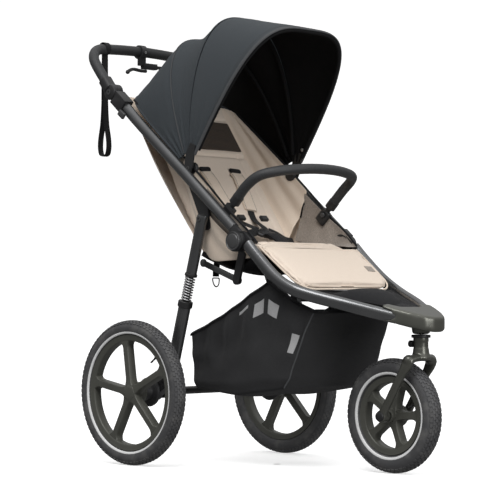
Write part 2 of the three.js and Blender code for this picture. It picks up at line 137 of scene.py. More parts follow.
class Finish:
    def __init__(self, name, **settings):
        self.material = bpy.data.materials.new(name)
        self.material.use_nodes = True
        self.tree = self.material.node_tree
        self.shader = self.tree.nodes["Principled BSDF"]
        for socket, value in settings.items():
            self.shader.inputs[socket.replace("_", " ")].default_value = value

    def node(self, kind, settings=None, inputs=None, output=0):
        made = self.tree.nodes.new(kind)
        for key, value in (settings or {}).items():
            if key == "stops":
                for spare in range(len(value) - 2):
                    made.color_ramp.elements.new(0.5)
                for stop, (place, shade) in zip(made.color_ramp.elements, value):
                    stop.position = place
                    stop.color = (*shade, 1)
            else:
                setattr(made, key, value)
        for key, value in (inputs or {}).items():
            if isinstance(value, Value):
                self.tree.links.new(value.socket, made.inputs[key])
            else:
                made.inputs[key].default_value = value
        return Value(self, made.outputs[output])

    def place(self):
        return self.node("ShaderNodeTexCoord", output="Object")

    def surface(self):
        return self.node("ShaderNodeUVMap", {"uv_map": "UVMap"})

    def axes(self, vector):
        return [self.node("ShaderNodeSeparateXYZ", inputs={0: vector}, output=i) for i in range(3)]

    def noise(self, vector, scale, detail=3, roughness=0.5, output="Fac"):
        return self.node("ShaderNodeTexNoise", inputs={"Vector": vector, "Scale": scale, "Detail": detail,
                                                       "Roughness": roughness}, output=output)

    def cells(self, vector, scale, feature="F1", output="Distance"):
        return self.node("ShaderNodeTexVoronoi", {"feature": feature}, {"Vector": vector, "Scale": scale}, output)

    def shade(self, dark, light, share):
        return self.node("ShaderNodeMix", {"data_type": "RGBA"}, {"Factor": share, 6: dark, 7: light}, 2)

    def use(self, socket, value):
        self.tree.links.new(value.socket, self.shader.inputs[socket])

    def bump(self, height, strength, distance=0.001):
        made = self.node("ShaderNodeBump", inputs={"Height": height, "Strength": strength, "Distance": distance})
        self.use("Normal", made)


def colour(red, green, blue):
    return (red, green, blue, 1)


def paintFinish(name, dark, light, roughness, metallic, speckle=0.05):
    # powder coat: fine orange peel, slightly duller where dust settles
    finish = Finish(name, Metallic=metallic)
    spot = finish.place()
    cloud = finish.noise(spot, 9, 4)
    finish.use("Base Color", finish.shade(dark, light, cloud))
    peel = finish.noise(spot, 1500, 1)
    finish.use("Roughness", roughness + 0.08 * cloud + 0.02 * peel)
    finish.bump(peel, speckle, 0.0002)
    return finish.material


def mouldedFinish(name, dark, light, roughness, grain=700, metallic=0.0):
    # textured moulding: a fine spark-eroded grain with faint cloudiness
    finish = Finish(name, Metallic=metallic)
    spot = finish.place()
    cloud = finish.noise(spot, 14, 3)
    pits = finish.cells(spot, grain)
    finish.use("Base Color", finish.shade(dark, light, cloud))
    finish.use("Roughness", roughness + 0.15 * cloud - 0.06 * pits)
    finish.bump(pits, 0.25, 0.0003)
    return finish.material


def tyreFinish(name):
    finish = Finish(name)
    spot = finish.place()
    dust = finish.noise(spot, 25, 5, 0.65).ramp(0.42, 0.72)
    grain = finish.noise(spot, 1200, 2)
    finish.use("Base Color", finish.shade(colour(0.060, 0.060, 0.063), colour(0.115, 0.113, 0.111), dust))
    finish.use("Roughness", 0.62 + 0.2 * dust)
    finish.bump(grain, 0.3, 0.0004)
    return finish.material


def leatherFinish(name):
    finish = Finish(name)
    spot = finish.place()
    pebbles = finish.cells(spot, 520, "SMOOTH_F1")
    creases = finish.noise(spot, 130, 4)
    finish.use("Base Color", finish.shade(colour(0.03, 0.031, 0.033), colour(0.012, 0.012, 0.013),
                                          pebbles.ramp(0.35, 0.75)))
    finish.use("Roughness", 0.5 + 0.2 * creases - 0.1 * pebbles)
    finish.bump(creases * 0.4 - pebbles, 0.5, 0.0006)
    return finish.material


def wovenFinish(name, dark, light, pitch=0.0012, roughness=0.85, sheen=0.05, melange=0.5, depth=0.5):
    # plain weave on the piece's own UV map, in metres, with a melange of lighter yarns
    finish = Finish(name, Sheen_Weight=sheen, Sheen_Roughness=0.5, Specular_IOR_Level=0.2)
    across, along = finish.axes(finish.surface())[:2]
    turn = 2 * math.pi / pitch
    warp = (across * turn).sine()
    weft = (along * turn).sine()
    weave = warp * weft
    spot = finish.place()
    yarn = finish.noise(spot, 420, 3, 0.7).ramp(0.35, 0.65)
    cloud = finish.noise(spot, 7, 3)
    share = (0.5 - melange * 0.5) + melange * (0.7 * yarn + 0.3 * cloud) + 0.12 * weave
    finish.use("Base Color", finish.shade(dark, light, share))
    finish.use("Roughness", roughness + 0.08 * yarn)
    finish.bump(weave + 0.5 * yarn, depth, 0.0005)
    return finish.material


def paddedFinish(name, dark, light, grain=0.0016, melange=0.5, sheen=0.08):
    # knitted cover on object coordinates, because a padded piece has no UV map
    finish = Finish(name, Sheen_Weight=sheen, Sheen_Roughness=0.45, Specular_IOR_Level=0.25)
    spot = finish.place()
    x, y, z = finish.axes(spot)
    turn = 2 * math.pi / grain
    knit = (x * turn).sine() * ((y + z * 0.8) * turn).sine()
    yarn = finish.noise(spot, 380, 3, 0.7).ramp(0.3, 0.7)
    cloud = finish.noise(spot, 5, 3)
    share = (0.5 - melange * 0.5) + melange * (0.6 * yarn + 0.4 * cloud) + 0.08 * knit
    finish.use("Base Color", finish.shade(dark, light, share))
    finish.use("Roughness", 0.82 + 0.1 * yarn)
    finish.bump(0.6 * knit + 0.6 * yarn, 0.4, 0.0006)
    return finish.material


def steelFinish(name, shade, roughness):
    finish = Finish(name, Metallic=1.0)
    spot = finish.place()
    scratches = finish.noise(spot, 240, 5, 0.7)
    finish.use("Base Color", finish.shade(shade, colour(*(0.75 * part for part in shade[:3])), scratches))
    finish.use("Roughness", roughness + 0.2 * scratches)
    finish.bump(scratches, 0.08, 0.0003)
    return finish.material


finishes = {
    "frame": paintFinish("framePaint", colour(0.11, 0.112, 0.115), colour(0.16, 0.162, 0.165), 0.2, 0.8),
    "plastic": mouldedFinish("blackMoulding", colour(0.010, 0.010, 0.011), colour(0.02, 0.02, 0.021), 0.42),
    "hub": paintFinish("oliveSatin", colour(0.085, 0.086, 0.074), colour(0.12, 0.12, 0.105), 0.26, 0.55),
    "rim": mouldedFinish("rimMoulding", colour(0.07, 0.071, 0.06), colour(0.1, 0.1, 0.086), 0.38, metallic=0.2),
    "cap": mouldedFinish("capMoulding", colour(0.07, 0.071, 0.072), colour(0.1, 0.1, 0.102), 0.35, metallic=0.5),
    "tyre": tyreFinish("tyreRubber"),
    "leather": leatherFinish("barLeather"),
    "thread": mouldedFinish("sewingThread", colour(0.05, 0.05, 0.052), colour(0.09, 0.09, 0.092), 0.7, 2000),
    "band": mouldedFinish("reflectiveBand", colour(0.8, 0.8, 0.8), colour(0.9, 0.9, 0.9), 0.35, 1500),
    "steel": steelFinish("brightSteel", colour(0.62, 0.62, 0.63), 0.2),
    "canopy": wovenFinish("canopyCloth", colour(0.030, 0.036, 0.041), colour(0.062, 0.071, 0.079), 0.0014),
    "lining": wovenFinish("canopyLining", colour(0.004, 0.004, 0.0045), colour(0.009, 0.009, 0.01), 0.0014,
                          sheen=0.0),
    "binding": wovenFinish("greyBinding", colour(0.05, 0.052, 0.055), colour(0.09, 0.092, 0.096), 0.001, 0.7),
    "black": wovenFinish("blackCloth", colour(0.006, 0.006, 0.007), colour(0.016, 0.016, 0.018), 0.0013),
    "basket": wovenFinish("basketCloth", colour(0.014, 0.014, 0.015), colour(0.042, 0.042, 0.044), 0.0018, 0.75),
    "webbing": wovenFinish("blackWebbing", colour(0.005, 0.005, 0.006), colour(0.016, 0.016, 0.017), 0.0022, 0.7,
                           depth=0.9),
    "silver": wovenFinish("silverCloth", colour(0.34, 0.34, 0.35), colour(0.5, 0.5, 0.5), 0.0016, 0.6),
    "beige": paddedFinish("sandKnit", colour(0.66, 0.555, 0.46), colour(0.78, 0.68, 0.585)),
    "beigeCloth": wovenFinish("sandCloth", colour(0.69, 0.57, 0.455), colour(0.82, 0.70, 0.585), 0.0016, 0.9, 0.35),
    "mesh": wovenFinish("greyMelange", colour(0.17, 0.14, 0.12), colour(0.40, 0.35, 0.30), 0.0022, 0.9, 0.3, 0.9),
    "brownMesh": wovenFinish("brownMesh", colour(0.03, 0.022, 0.017), colour(0.10, 0.078, 0.062), 0.0028, 0.8,
                             depth=0.9),
}
print("finishes made:", len(finishes))


def newPiece(name, mesh, finish, body, stands=()):
    obj = bpy.data.objects.new(name, mesh)
    bpy.context.collection.objects.link(obj)
    if not mesh.materials:
        mesh.materials.append(finishes[finish])
    settle(obj, body, stands)
    return obj


def settle(obj, body, stands=()):
    if body:
        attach(obj, body)
    if stands:
        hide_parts(*([stands] if isinstance(stands, str) else stands))


def meshFrom(name, points, faces, corners=None, smooth=True, angle=40, closed=True):
    mesh = bpy.data.meshes.new(name)
    mesh.from_pydata([tuple(point) for point in points], [], faces)
    if corners:
        layer = mesh.uv_layers.new(name="UVMap")
        flat = [part for corner in corners for part in corner]
        layer.data.foreach_set("uv", flat)
    tidy(mesh, closed)
    shadeMesh(mesh, smooth, angle)
    return mesh


def tidy(mesh, closed=True):
    work = bmesh.new()
    work.from_mesh(mesh)
    bmesh.ops.remove_doubles(work, verts=work.verts, dist=0.00001)
    if closed:
        bmesh.ops.recalc_face_normals(work, faces=work.faces)
    work.to_mesh(mesh)
    work.free()


def shadeMesh(mesh, smooth=True, angle=40):
    mesh.polygons.foreach_set("use_smooth", [smooth] * len(mesh.polygons))
    if smooth:
        mesh.set_sharp_from_angle(angle=math.radians(angle))


def smoothPath(points, steps):
    # a centripetal spline through the points, cut into equal lengths
    points = [Vector(point) for point in points]
    if len(points) == 2:
        return [mix(points[0], points[1], i / steps) for i in range(steps + 1)]
    ends = [points[0] * 2 - points[1], *points, points[-1] * 2 - points[-2]]
    dense = []
    for i in range(1, len(ends) - 2):
        p = ends[i - 1:i + 3]
        t = [0]
        for a, b in zip(p, p[1:]):
            t.append(t[-1] + max((b - a).length, 1e-7) ** 0.5)
        for s in range(20):
            u = mix(t[1], t[2], s / 20)
            a = [mix(p[k], p[k + 1], (u - t[k]) / (t[k + 1] - t[k])) for k in range(3)]
            b = [mix(a[k], a[k + 1], (u - t[k]) / (t[k + 2] - t[k])) for k in range(2)]
            dense.append(mix(b[0], b[1], (u - t[1]) / (t[2] - t[1])))
    dense.append(points[-1])
    return evenPath(dense, steps)


def evenPath(dense, steps):
    lengths = [0]
    for a, b in zip(dense, dense[1:]):
        lengths.append(lengths[-1] + (b - a).length)
    path, k = [], 0
    for i in range(steps + 1):
        goal = lengths[-1] * i / steps
        while k < len(lengths) - 2 and lengths[k + 1] < goal:
            k += 1
        path.append(mix(dense[k], dense[k + 1], (goal - lengths[k]) / max(lengths[k + 1] - lengths[k], 1e-9)))
    return path


def gridMesh(name, rows, wrap=False, loop=False, caps=False, closed=True, angle=40):
    # rows of points become a skin, with a UV map in metres
    count = len(rows[0])
    along, around = [0], [0]
    middle = count // 2
    for a, b in zip(rows, rows[1:] + rows[:1]):
        along.append(along[-1] + (b[middle] - a[middle]).length)
    halfway = rows[len(rows) // 2]
    for a, b in zip(halfway, halfway[1:] + halfway[:1]):
        around.append(around[-1] + (b - a).length)
    faces, corners = [], []
    for i in range(len(rows) if loop else len(rows) - 1):
        n = (i + 1) % len(rows)
        for j in range(count if wrap else count - 1):
            k = (j + 1) % count
            faces.append((i * count + j, i * count + k, n * count + k, n * count + j))
            corners += [(along[i], around[j]), (along[i], around[j + 1]),
                        (along[i + 1], around[j + 1]), (along[i + 1], around[j])]
    if caps:
        last = (len(rows) - 1) * count
        faces += [tuple(reversed(range(count))), tuple(range(last, last + count))]
        corners += [(0, around[j]) for j in reversed(range(count))] + [(along[-2], around[j]) for j in range(count)]
    return meshFrom(name, [point for row in rows for point in row], faces, corners, closed=closed, angle=angle)


def pathFrames(path, side, loop=False):
    across = Vector(side)
    for i, point in enumerate(path):
        before = path[i - 1] if i or loop else point
        after = path[(i + 1) % len(path)] if i < len(path) - 1 or loop else point
        tangent = (after - before).normalized()
        across = (across - tangent * across.dot(tangent)).normalized()
        yield point, across, tangent.cross(across), tangent


def sweepMesh(name, path, size, sides=24, side=(1, 0, 0), loop=False, square=2.0, caps=True, angle=40):
    # size is (half width, half height) in mm, or a function of the share of the path
    rows = []
    frames = list(pathFrames(path, side, loop))
    for i, (point, across, high, tangent) in enumerate(frames):
        wide, tall = size(i / (len(path) - 1)) if callable(size) else size
        row = []
        for k in range(sides):
            turn = 2 * math.pi * (k + 0.5) / sides
            c, s = math.cos(turn), math.sin(turn)
            c = math.copysign(abs(c) ** (2 / square), c)
            s = math.copysign(abs(s) ** (2 / square), s)
            row.append(point + across * (wide * c / 1000) + high * (tall * s / 1000))
        rows.append(row)
    return gridMesh(name, rows, wrap=True, loop=loop, caps=caps and not loop, angle=angle)


def roundedEnds(size, length, reach=4):
    # makes a sweep's ends round over, for a path of this length in mm
    def rounded(share):
        left = min(share, 1 - share) * length
        shrink = math.sqrt(max(1 - max(1 - left / reach, 0) ** 2, 0.02))
        wide, tall = size(share) if callable(size) else size
        return wide * shrink, tall * shrink
    return rounded


def turnedMesh(name, profile, centre, axis=(1, 0, 0), steps=64, angle=30):
    # profile is a closed loop, or runs from the axis to the axis, of (radius, distance along the axis) in mm
    axis = Vector(axis).normalized()
    first = axis.orthogonal().normalized() if abs(axis.x) < 0.9 else Vector((0, 0, 1))
    second = axis.cross(first)
    rows = []
    for i in range(steps):
        turn = 2 * math.pi * i / steps
        out = first * math.cos(turn) + second * math.sin(turn)
        rows.append([centre + (out * radius + axis * along) / 1000 for radius, along in profile])
    return gridMesh(name, rows, wrap=profile[0][0] > 0.01 or profile[-1][0] > 0.01, loop=True, angle=angle)


def plateMesh(name, outline, left, right, bevel=1.5, steps=2, angle=35):
    # a side-view outline of (y, z) in mm, between two x, with rounded edges
    mesh = bpy.data.meshes.new(name)
    work = bmesh.new()
    ring = [work.verts.new(at(left, y, z)) for y, z in outline]
    base = work.faces.new(ring)
    lifted = bmesh.ops.extrude_face_region(work, geom=[base])["geom"]
    bmesh.ops.translate(work, verts=[v for v in lifted if isinstance(v, bmesh.types.BMVert)],
                        vec=(abs(right - left) / 1000 * (1 if right > left else -1), 0, 0))
    bmesh.ops.recalc_face_normals(work, faces=work.faces)
    if bevel:
        sharp = [e for e in work.edges if e.calc_face_angle(0) > math.radians(25)]
        bmesh.ops.bevel(work, geom=sharp, offset=bevel / 1000, segments=steps, affect="EDGES", clamp_overlap=True)
    work.to_mesh(mesh)
    work.free()
    shadeMesh(mesh, True, angle)
    return mesh


def solidified(obj, thickness, offset=0, levels=0):
    # gives a sheet its thickness, in mm, and applies it
    if thickness:
        wall = obj.modifiers.new("wall", "SOLIDIFY")
        wall.thickness = thickness / 1000
        wall.offset = offset
    if levels:
        smooth = obj.modifiers.new("smooth", "SUBSURF")
        smooth.levels = smooth.render_levels = levels
    return applied(obj)


def applied(obj, angle=40):
    bpy.context.view_layer.update()
    depsgraph = bpy.context.evaluated_depsgraph_get()
    mesh = bpy.data.meshes.new_from_object(obj.evaluated_get(depsgraph), depsgraph=depsgraph)
    obj.modifiers.clear()
    obj.data = mesh
    shadeMesh(mesh, True, angle)
    return obj


def looseObject(name, mesh, *names):
    obj = bpy.data.objects.new(name, mesh)
    bpy.context.collection.objects.link(obj)
    for finish in names:
        mesh.materials.append(finishes[finish])
    return obj


def joinMeshes(name, meshes):
    work = bmesh.new()
    for mesh in meshes:
        work.from_mesh(mesh)
    joined = bpy.data.meshes.new(name)
    work.to_mesh(joined)
    work.free()
    shadeMesh(joined)
    return joined


def castMesh(name, parts, voxel=0.0024, passes=6):
    # parts that are cast as one flow into each other: joined, remeshed and relaxed
    obj = looseObject(name, joinMeshes(name, parts))
    remesh = obj.modifiers.new("remesh", "REMESH")
    remesh.mode = "VOXEL"
    remesh.voxel_size = voxel
    relax = obj.modifiers.new("relax", "SMOOTH")
    relax.factor = 0.5
    relax.iterations = passes
    mesh = applied(obj, 180).data
    bpy.data.objects.remove(obj)
    return mesh


def cadMesh(node):
    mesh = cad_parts[node].data.copy()
    mesh.materials.clear()
    tidy(mesh)
    return mesh


def refined(node, name, finish, body, bevel=1.2, angle=32, steps=2):
    # a CAD node whose shape is right: merged, its edges rounded, shaded smooth
    mesh = cadMesh(node)
    mesh.name = name
    work = bmesh.new()
    work.from_mesh(mesh)
    bmesh.ops.dissolve_limit(work, angle_limit=math.radians(1), verts=work.verts, edges=work.edges)
    work.to_mesh(mesh)
    work.free()
    obj = looseObject(name, mesh, finish)
    edge = obj.modifiers.new("edge", "BEVEL")
    edge.width = bevel / 1000
    edge.segments = steps
    edge.limit_method = "ANGLE"
    edge.angle_limit = math.radians(angle)
    edge.use_clamp_overlap = True
    applied(obj, 36)
    settle(obj, body, node)
    return obj


class GeometryTree:
    # a geometry node tree with named inputs, which ends in Realize Instances and Set Material
    def __init__(self, name, sizes):
        self.group = bpy.data.node_groups.new(name, "GeometryNodeTree")
        face = self.group.interface
        face.new_socket("Geometry", in_out="INPUT", socket_type="NodeSocketGeometry")
        self.names = {}
        for label, start in sizes.items():
            kind = "NodeSocketInt" if isinstance(start, int) else "NodeSocketFloat"
            if isinstance(start, tuple):
                kind = "NodeSocketVector"
            socket = face.new_socket(label, in_out="INPUT", socket_type=kind)
            socket.default_value = start
            self.names[label] = socket.identifier
        face.new_socket("Geometry", in_out="OUTPUT", socket_type="NodeSocketGeometry")
        self.start = self.group.nodes.new("NodeGroupInput")

    def given(self, label):
        return self.start.outputs[label]

    def node(self, kind, settings=None, inputs=None, output=0):
        made = self.group.nodes.new(kind)
        for key, value in (settings or {}).items():
            setattr(made, key, value)
        for key, value in (inputs or {}).items():
            if isinstance(value, bpy.types.NodeSocket):
                self.group.links.new(value, made.inputs[key])
            else:
                made.inputs[key].default_value = value
        return made.outputs[output]

    def finish(self, geometry, material):
        real = self.node("GeometryNodeRealizeInstances", inputs={0: geometry})
        painted = self.node("GeometryNodeSetMaterial", inputs={0: real, "Material": material})
        end = self.group.nodes.new("NodeGroupOutput")
        self.group.links.new(painted, end.inputs[0])

    def run(self, obj, **values):
        modifier = obj.modifiers.new("pattern", "NODES")
        modifier.node_group = self.group
        for label, value in values.items():
            modifier[self.names[label]] = value
        return applied(obj)


def stitchTree(name, finish):
    # short threads, laid end to end along a line of edges
    tree = GeometryTree(name, {"Pitch": 0.005, "Thread": 0.0006, "Length": 0.0034})
    curve = tree.node("GeometryNodeMeshToCurve", inputs={0: tree.given("Geometry")})
    spots = tree.node("GeometryNodeResampleCurve", {"mode": "LENGTH"}, {0: curve, "Length": tree.given("Pitch")})
    thread = tree.node("GeometryNodeMeshCylinder", inputs={"Vertices": 6, "Radius": tree.given("Thread"),
                                                           "Depth": tree.given("Length")})
    tangent = tree.node("GeometryNodeInputTangent")
    turn = tree.node("FunctionNodeAlignRotationToVector", {"axis": "Z"}, {"Vector": tangent})
    placed = tree.node("GeometryNodeInstanceOnPoints", inputs={0: spots, "Instance": thread, "Rotation": turn})
    tree.finish(placed, finishes[finish])
    return tree


def lineObject(name, path, loop=False):
    mesh = bpy.data.meshes.new(name)
    edges = [(i, i + 1) for i in range(len(path) - 1)] + ([(len(path) - 1, 0)] if loop else [])
    mesh.from_pydata([tuple(point) for point in path], edges, [])
    obj = bpy.data.objects.new(name, mesh)
    bpy.context.collection.objects.link(obj)
    return obj


darkStitches = stitchTree("darkStitches", "thread")


def stitch(name, path, tree, body, pitch=0.005, thread=0.0006, length=0.0034, loop=False):
    seam = lineObject(name, path, loop)
    tree.run(seam, Pitch=pitch, Thread=thread, Length=length)
    settle(seam, body)
    return seam


def screwTree(name, finish):
    # screw heads with a sunk socket, one on each point, all facing the given way
    tree = GeometryTree(name, {"Radius": 0.004, "Height": 0.002, "Facing": (1.0, 0.0, 0.0)})
    head = tree.node("GeometryNodeMeshCylinder", inputs={"Vertices": 20, "Radius": tree.given("Radius"),
                                                         "Depth": tree.given("Height")})
    inner = tree.node("ShaderNodeMath", {"operation": "MULTIPLY"}, {0: tree.given("Radius"), 1: 0.5})
    socket = tree.node("GeometryNodeMeshCylinder", inputs={"Vertices": 6, "Radius": inner,
                                                           "Depth": tree.given("Height")})
    lift = tree.node("ShaderNodeMath", {"operation": "MULTIPLY"}, {0: tree.given("Height"), 1: 0.35})
    offset = tree.node("ShaderNodeCombineXYZ", inputs={"Z": lift})
    raised = tree.node("GeometryNodeTransform", inputs={"Geometry": socket, "Translation": offset})
    whole = tree.node("GeometryNodeMeshBoolean", {"operation": "DIFFERENCE"}, {0: head, 1: raised})
    turn = tree.node("FunctionNodeAlignRotationToVector", {"axis": "Z"}, {"Vector": tree.given("Facing")})
    points = tree.node("GeometryNodeMeshToPoints", inputs={0: tree.given("Geometry")})
    placed = tree.node("GeometryNodeInstanceOnPoints", inputs={0: points, "Instance": whole, "Rotation": turn})
    tree.finish(placed, finishes[finish])
    return tree


screwHeads = screwTree("screwHeads", "steel")
blackScrewHeads = screwTree("blackScrewHeads", "cap")


def screws(name, points, facing, body, radius=0.004, height=0.0024, tree=None):
    spots = lineObject(name, points)
    (tree or screwHeads).run(spots, Radius=radius, Height=height, Facing=facing)
    settle(spots, body)
    return spots


studio = {"lens": 140.4, "floor": 0.95, "sky": 1.0, "key": 85.0, "fill": 75.0, "glow": 0.5,
          "skyStops": [(0.0, 0.30), (0.45, 0.16), (0.52, 0.16), (0.75, 0.55), (1.0, 1.25)]}


def lookAt(obj, target):
    obj.rotation_euler = (Vector(target) - obj.location).to_track_quat("-Z", "Y").to_euler()


camera = bpy.data.objects.new("camera", bpy.data.cameras.new("camera"))
bpy.context.collection.objects.link(camera)
camera.data.lens = studio["lens"]
camera.location = (-3.9502, -3.7203, 0.4523)
lookAt(camera, (0, 0.1040, 0.5962))
bpy.context.scene.camera = camera

world = bpy.data.worlds.new("sky")
bpy.context.scene.world = world
world.use_nodes = True
skyNodes, skyLinks = world.node_tree.nodes, world.node_tree.links
skyPlace = skyNodes.new("ShaderNodeTexCoord")
skyAxes = skyNodes.new("ShaderNodeSeparateXYZ")
skyHeight = skyNodes.new("ShaderNodeMapRange")
skyHeight.inputs["From Min"].default_value = -1
skyRamp = skyNodes.new("ShaderNodeValToRGB")
while len(skyRamp.color_ramp.elements) < len(studio["skyStops"]):
    skyRamp.color_ramp.elements.new(0.5)
for stop, (place, light) in zip(skyRamp.color_ramp.elements, studio["skyStops"]):
    stop.position = place
    stop.color = (light, light, light, 1)
skyLinks.new(skyPlace.outputs["Generated"], skyAxes.inputs[0])
skyLinks.new(skyAxes.outputs["Z"], skyHeight.inputs["Value"])
skyLinks.new(skyHeight.outputs[0], skyRamp.inputs[0])
skyLinks.new(skyRamp.outputs["Color"], skyNodes["Background"].inputs["Color"])
skyNodes["Background"].inputs["Strength"].default_value = studio["sky"]


def areaLight(name, place, target, size, power):
    lamp = bpy.data.objects.new(name, bpy.data.lights.new(name, "AREA"))
    bpy.context.collection.objects.link(lamp)
    lamp.data.shape = "DISK"
    lamp.data.size = size
    lamp.data.energy = power
    lamp.location = place
    lookAt(lamp, target)


areaLight("key", (-2.6, -1.4, 3.6), (0, 0, 0.6), 2.2, studio["key"])
areaLight("fill", (-0.6, -4.4, 1.5), (0, 0, 0.6), 2.2, studio["fill"])
bpy.context.scene.view_settings.view_transform = "Standard"

floorRows = []
for step in range(41):  # a floor that curves up into a backdrop all round
    reach = 0.01 + 9 * step / 40
    lift = max(reach - 6.0, 0) ** 2 * 0.5
    floorRows.append([Vector((reach * math.cos(a * math.pi / 24), reach * math.sin(a * math.pi / 24), lift))
                      for a in range(48)])
floorMesh = gridMesh("floor", floorRows, wrap=True, closed=False, angle=180)
floorFinish = Finish("floorPaint", Roughness=0.8)
floorFinish.shader.inputs["Base Color"].default_value = (studio["floor"],) * 3 + (1,)
floorFinish.shader.inputs["Emission Color"].default_value = (1, 1, 1, 1)
floorFinish.shader.inputs["Emission Strength"].default_value = studio["glow"]
floorMesh.materials.append(floorFinish.material)
floor = bpy.data.objects.new("floor", floorMesh)
bpy.context.collection.objects.link(floor)
floor.visible_glossy = False  # the white surround isn't mirrored, so that black stays black
floor.visible_diffuse = False
floor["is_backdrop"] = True
print("studio set")


tube = {
    "x": 217, "foldPivot": (-35, 613), "legPivot": (100, 662), "direction": (0.768, 0.64),
    "upper": [(155, 792), (371, 968), (442, 1031)],
    "lower": [(217, -90, 585), (217, -130, 549), (217, -166, 519), (214, -201, 496), (206, -236, 479),
              (190, -271, 467), (146, -355, 443), (101, -424, 422), (73, -466, 410)],
    "sides": 32, "steps": 70,
}


def nearPivot(along, above):
    ty, tz = tube["direction"]
    y, z = tube["foldPivot"]
    return y + ty * along - tz * above, z + tz * along + ty * above


sideWords = (("Right", -1, "right"), ("Left", 1, "left"))
for word, sign, suffix in sideWords:
    upperPath = [at(sign * tube["x"], y, z) for y, z in [nearPivot(33, 16), *tube["upper"]]]
    upper = sweepMesh(f"upperTube{word}", smoothPath(upperPath, tube["steps"]), (14, 16), tube["sides"])
    newPiece(f"upperTube{word}", upper, "frame", "upper_frame", f"upper_tube_{suffix}")
    y, z = tube["legPivot"]
    bracket = [(92, 728), (156, 781), (168, 770), (y + 16, z)]
    bracket += [(y + 16 * math.cos(a), z + 16 * math.sin(a)) for a in [-math.pi * k / 10 for k in range(1, 10)]]
    bracket += [(y - 16, z)]
    newPiece(f"legBracket{word}", plateMesh(f"legBracket{word}", bracket, sign * 206, sign * 197, 2), "plastic",
             "upper_frame")
    lowerPath = [at(sign * tube["x"], *nearPivot(-34, 16))] + [at(sign * x, y, z) for x, y, z in tube["lower"]]
    lower = sweepMesh(f"lowerTube{word}", smoothPath(lowerPath, tube["steps"]), (13, 17), tube["sides"])
    newPiece(f"lowerTube{word}", lower, "frame", "lower_frame", f"lower_tube_{suffix}")
    refined(f"fold_knuckle_lower_{suffix}", f"lowerKnuckle{word}", "plastic", "lower_frame", 1.6)
    refined(f"fold_knuckle_upper_{suffix}", f"upperKnuckle{word}", "plastic", "upper_frame", 1.6)
    capCentre = at(sign * 238, *tube["foldPivot"])
    capProfile = [(0.01, 3.4), (15, 3.2), (18.5, 2.2), (20, 0.6), (21.2, 0.4), (22.6, 1.6), (24.4, 1.6), (25.4, 0),
                  (25.4, -1), (0.01, -1)]
    newPiece(f"foldCap{word}", turnedMesh(f"foldCap{word}", capProfile, capCentre, (sign, 0, 0)), "cap",
             "upper_frame")
    screws(f"foldScrew{word}", [at(sign * 197, *tube["foldPivot"])], (-sign, 0.0, 0.0), "upper_frame", 0.007, 0.006)
    screws(f"bracketScrew{word}", [at(sign * 196.5, *tube["legPivot"])], (-sign, 0.0, 0.0), "upper_frame", 0.006,
           0.004)
    refined(f"fold_link_{suffix}", f"foldLink{word}", "frame", "fold_links", 1.2)
    refined(f"handle_joint_{suffix}", f"handleJoint{word}", "plastic", "upper_frame", 1.8)
    refined(f"handle_button_{suffix}", f"handleButton{word}", "cap", f"handle_button_{suffix}", 1.5)

refined("fold_slider", "foldSlider", "cap", "fold_release", 2.0)
newPiece("footrestBar", sweepMesh("footrestBar", smoothPath([at(-191, -234, 459), at(191, -234, 459)], 8), (8.5, 8.5),
                                  24, side=(0, 1, 0)), "frame", "lower_frame", "footrest_bar")
print("frame tubes made")


leg = {"x": 222, "top": (93, 690), "direction": (0.2733, -0.9619), "tubeEnd": 175, "stemEnd": 310,
       "springStart": 177, "springEnd": 246, "sleeveEnd": 478, "coils": 9, "wire": 2.1, "coilRadius": 13.2}


def onLeg(distance, behind=0):
    y, z = leg["top"]
    dy, dz = leg["direction"]
    return y + dy * distance - dz * behind, z + dz * distance + dy * behind


def springTree(name, finish):
    # a wound spring: a spiral swept by a round wire
    tree = GeometryTree(name, {"Turns": 9.0, "Radius": 0.013, "Height": 0.07, "Wire": 0.002})
    coil = tree.node("GeometryNodeCurveSpiral", inputs={"Resolution": 24, "Rotations": tree.given("Turns"),
                                                        "Start Radius": tree.given("Radius"),
                                                        "End Radius": tree.given("Radius"),
                                                        "Height": tree.given("Height")})
    wire = tree.node("GeometryNodeCurvePrimitiveCircle", inputs={"Resolution": 10, "Radius": tree.given("Wire")})
    skin = tree.node("GeometryNodeCurveToMesh", inputs={0: coil, "Profile Curve": wire, "Fill Caps": True})
    turn = tree.node("FunctionNodeAlignRotationToVector", {"axis": "Z"},
                     {"Vector": (0.0, leg["direction"][0], leg["direction"][1])})
    points = tree.node("GeometryNodeMeshToPoints", inputs={0: tree.given("Geometry")})
    placed = tree.node("GeometryNodeInstanceOnPoints", inputs={0: points, "Instance": skin, "Rotation": turn})
    tree.finish(placed, finishes[finish])
    return tree


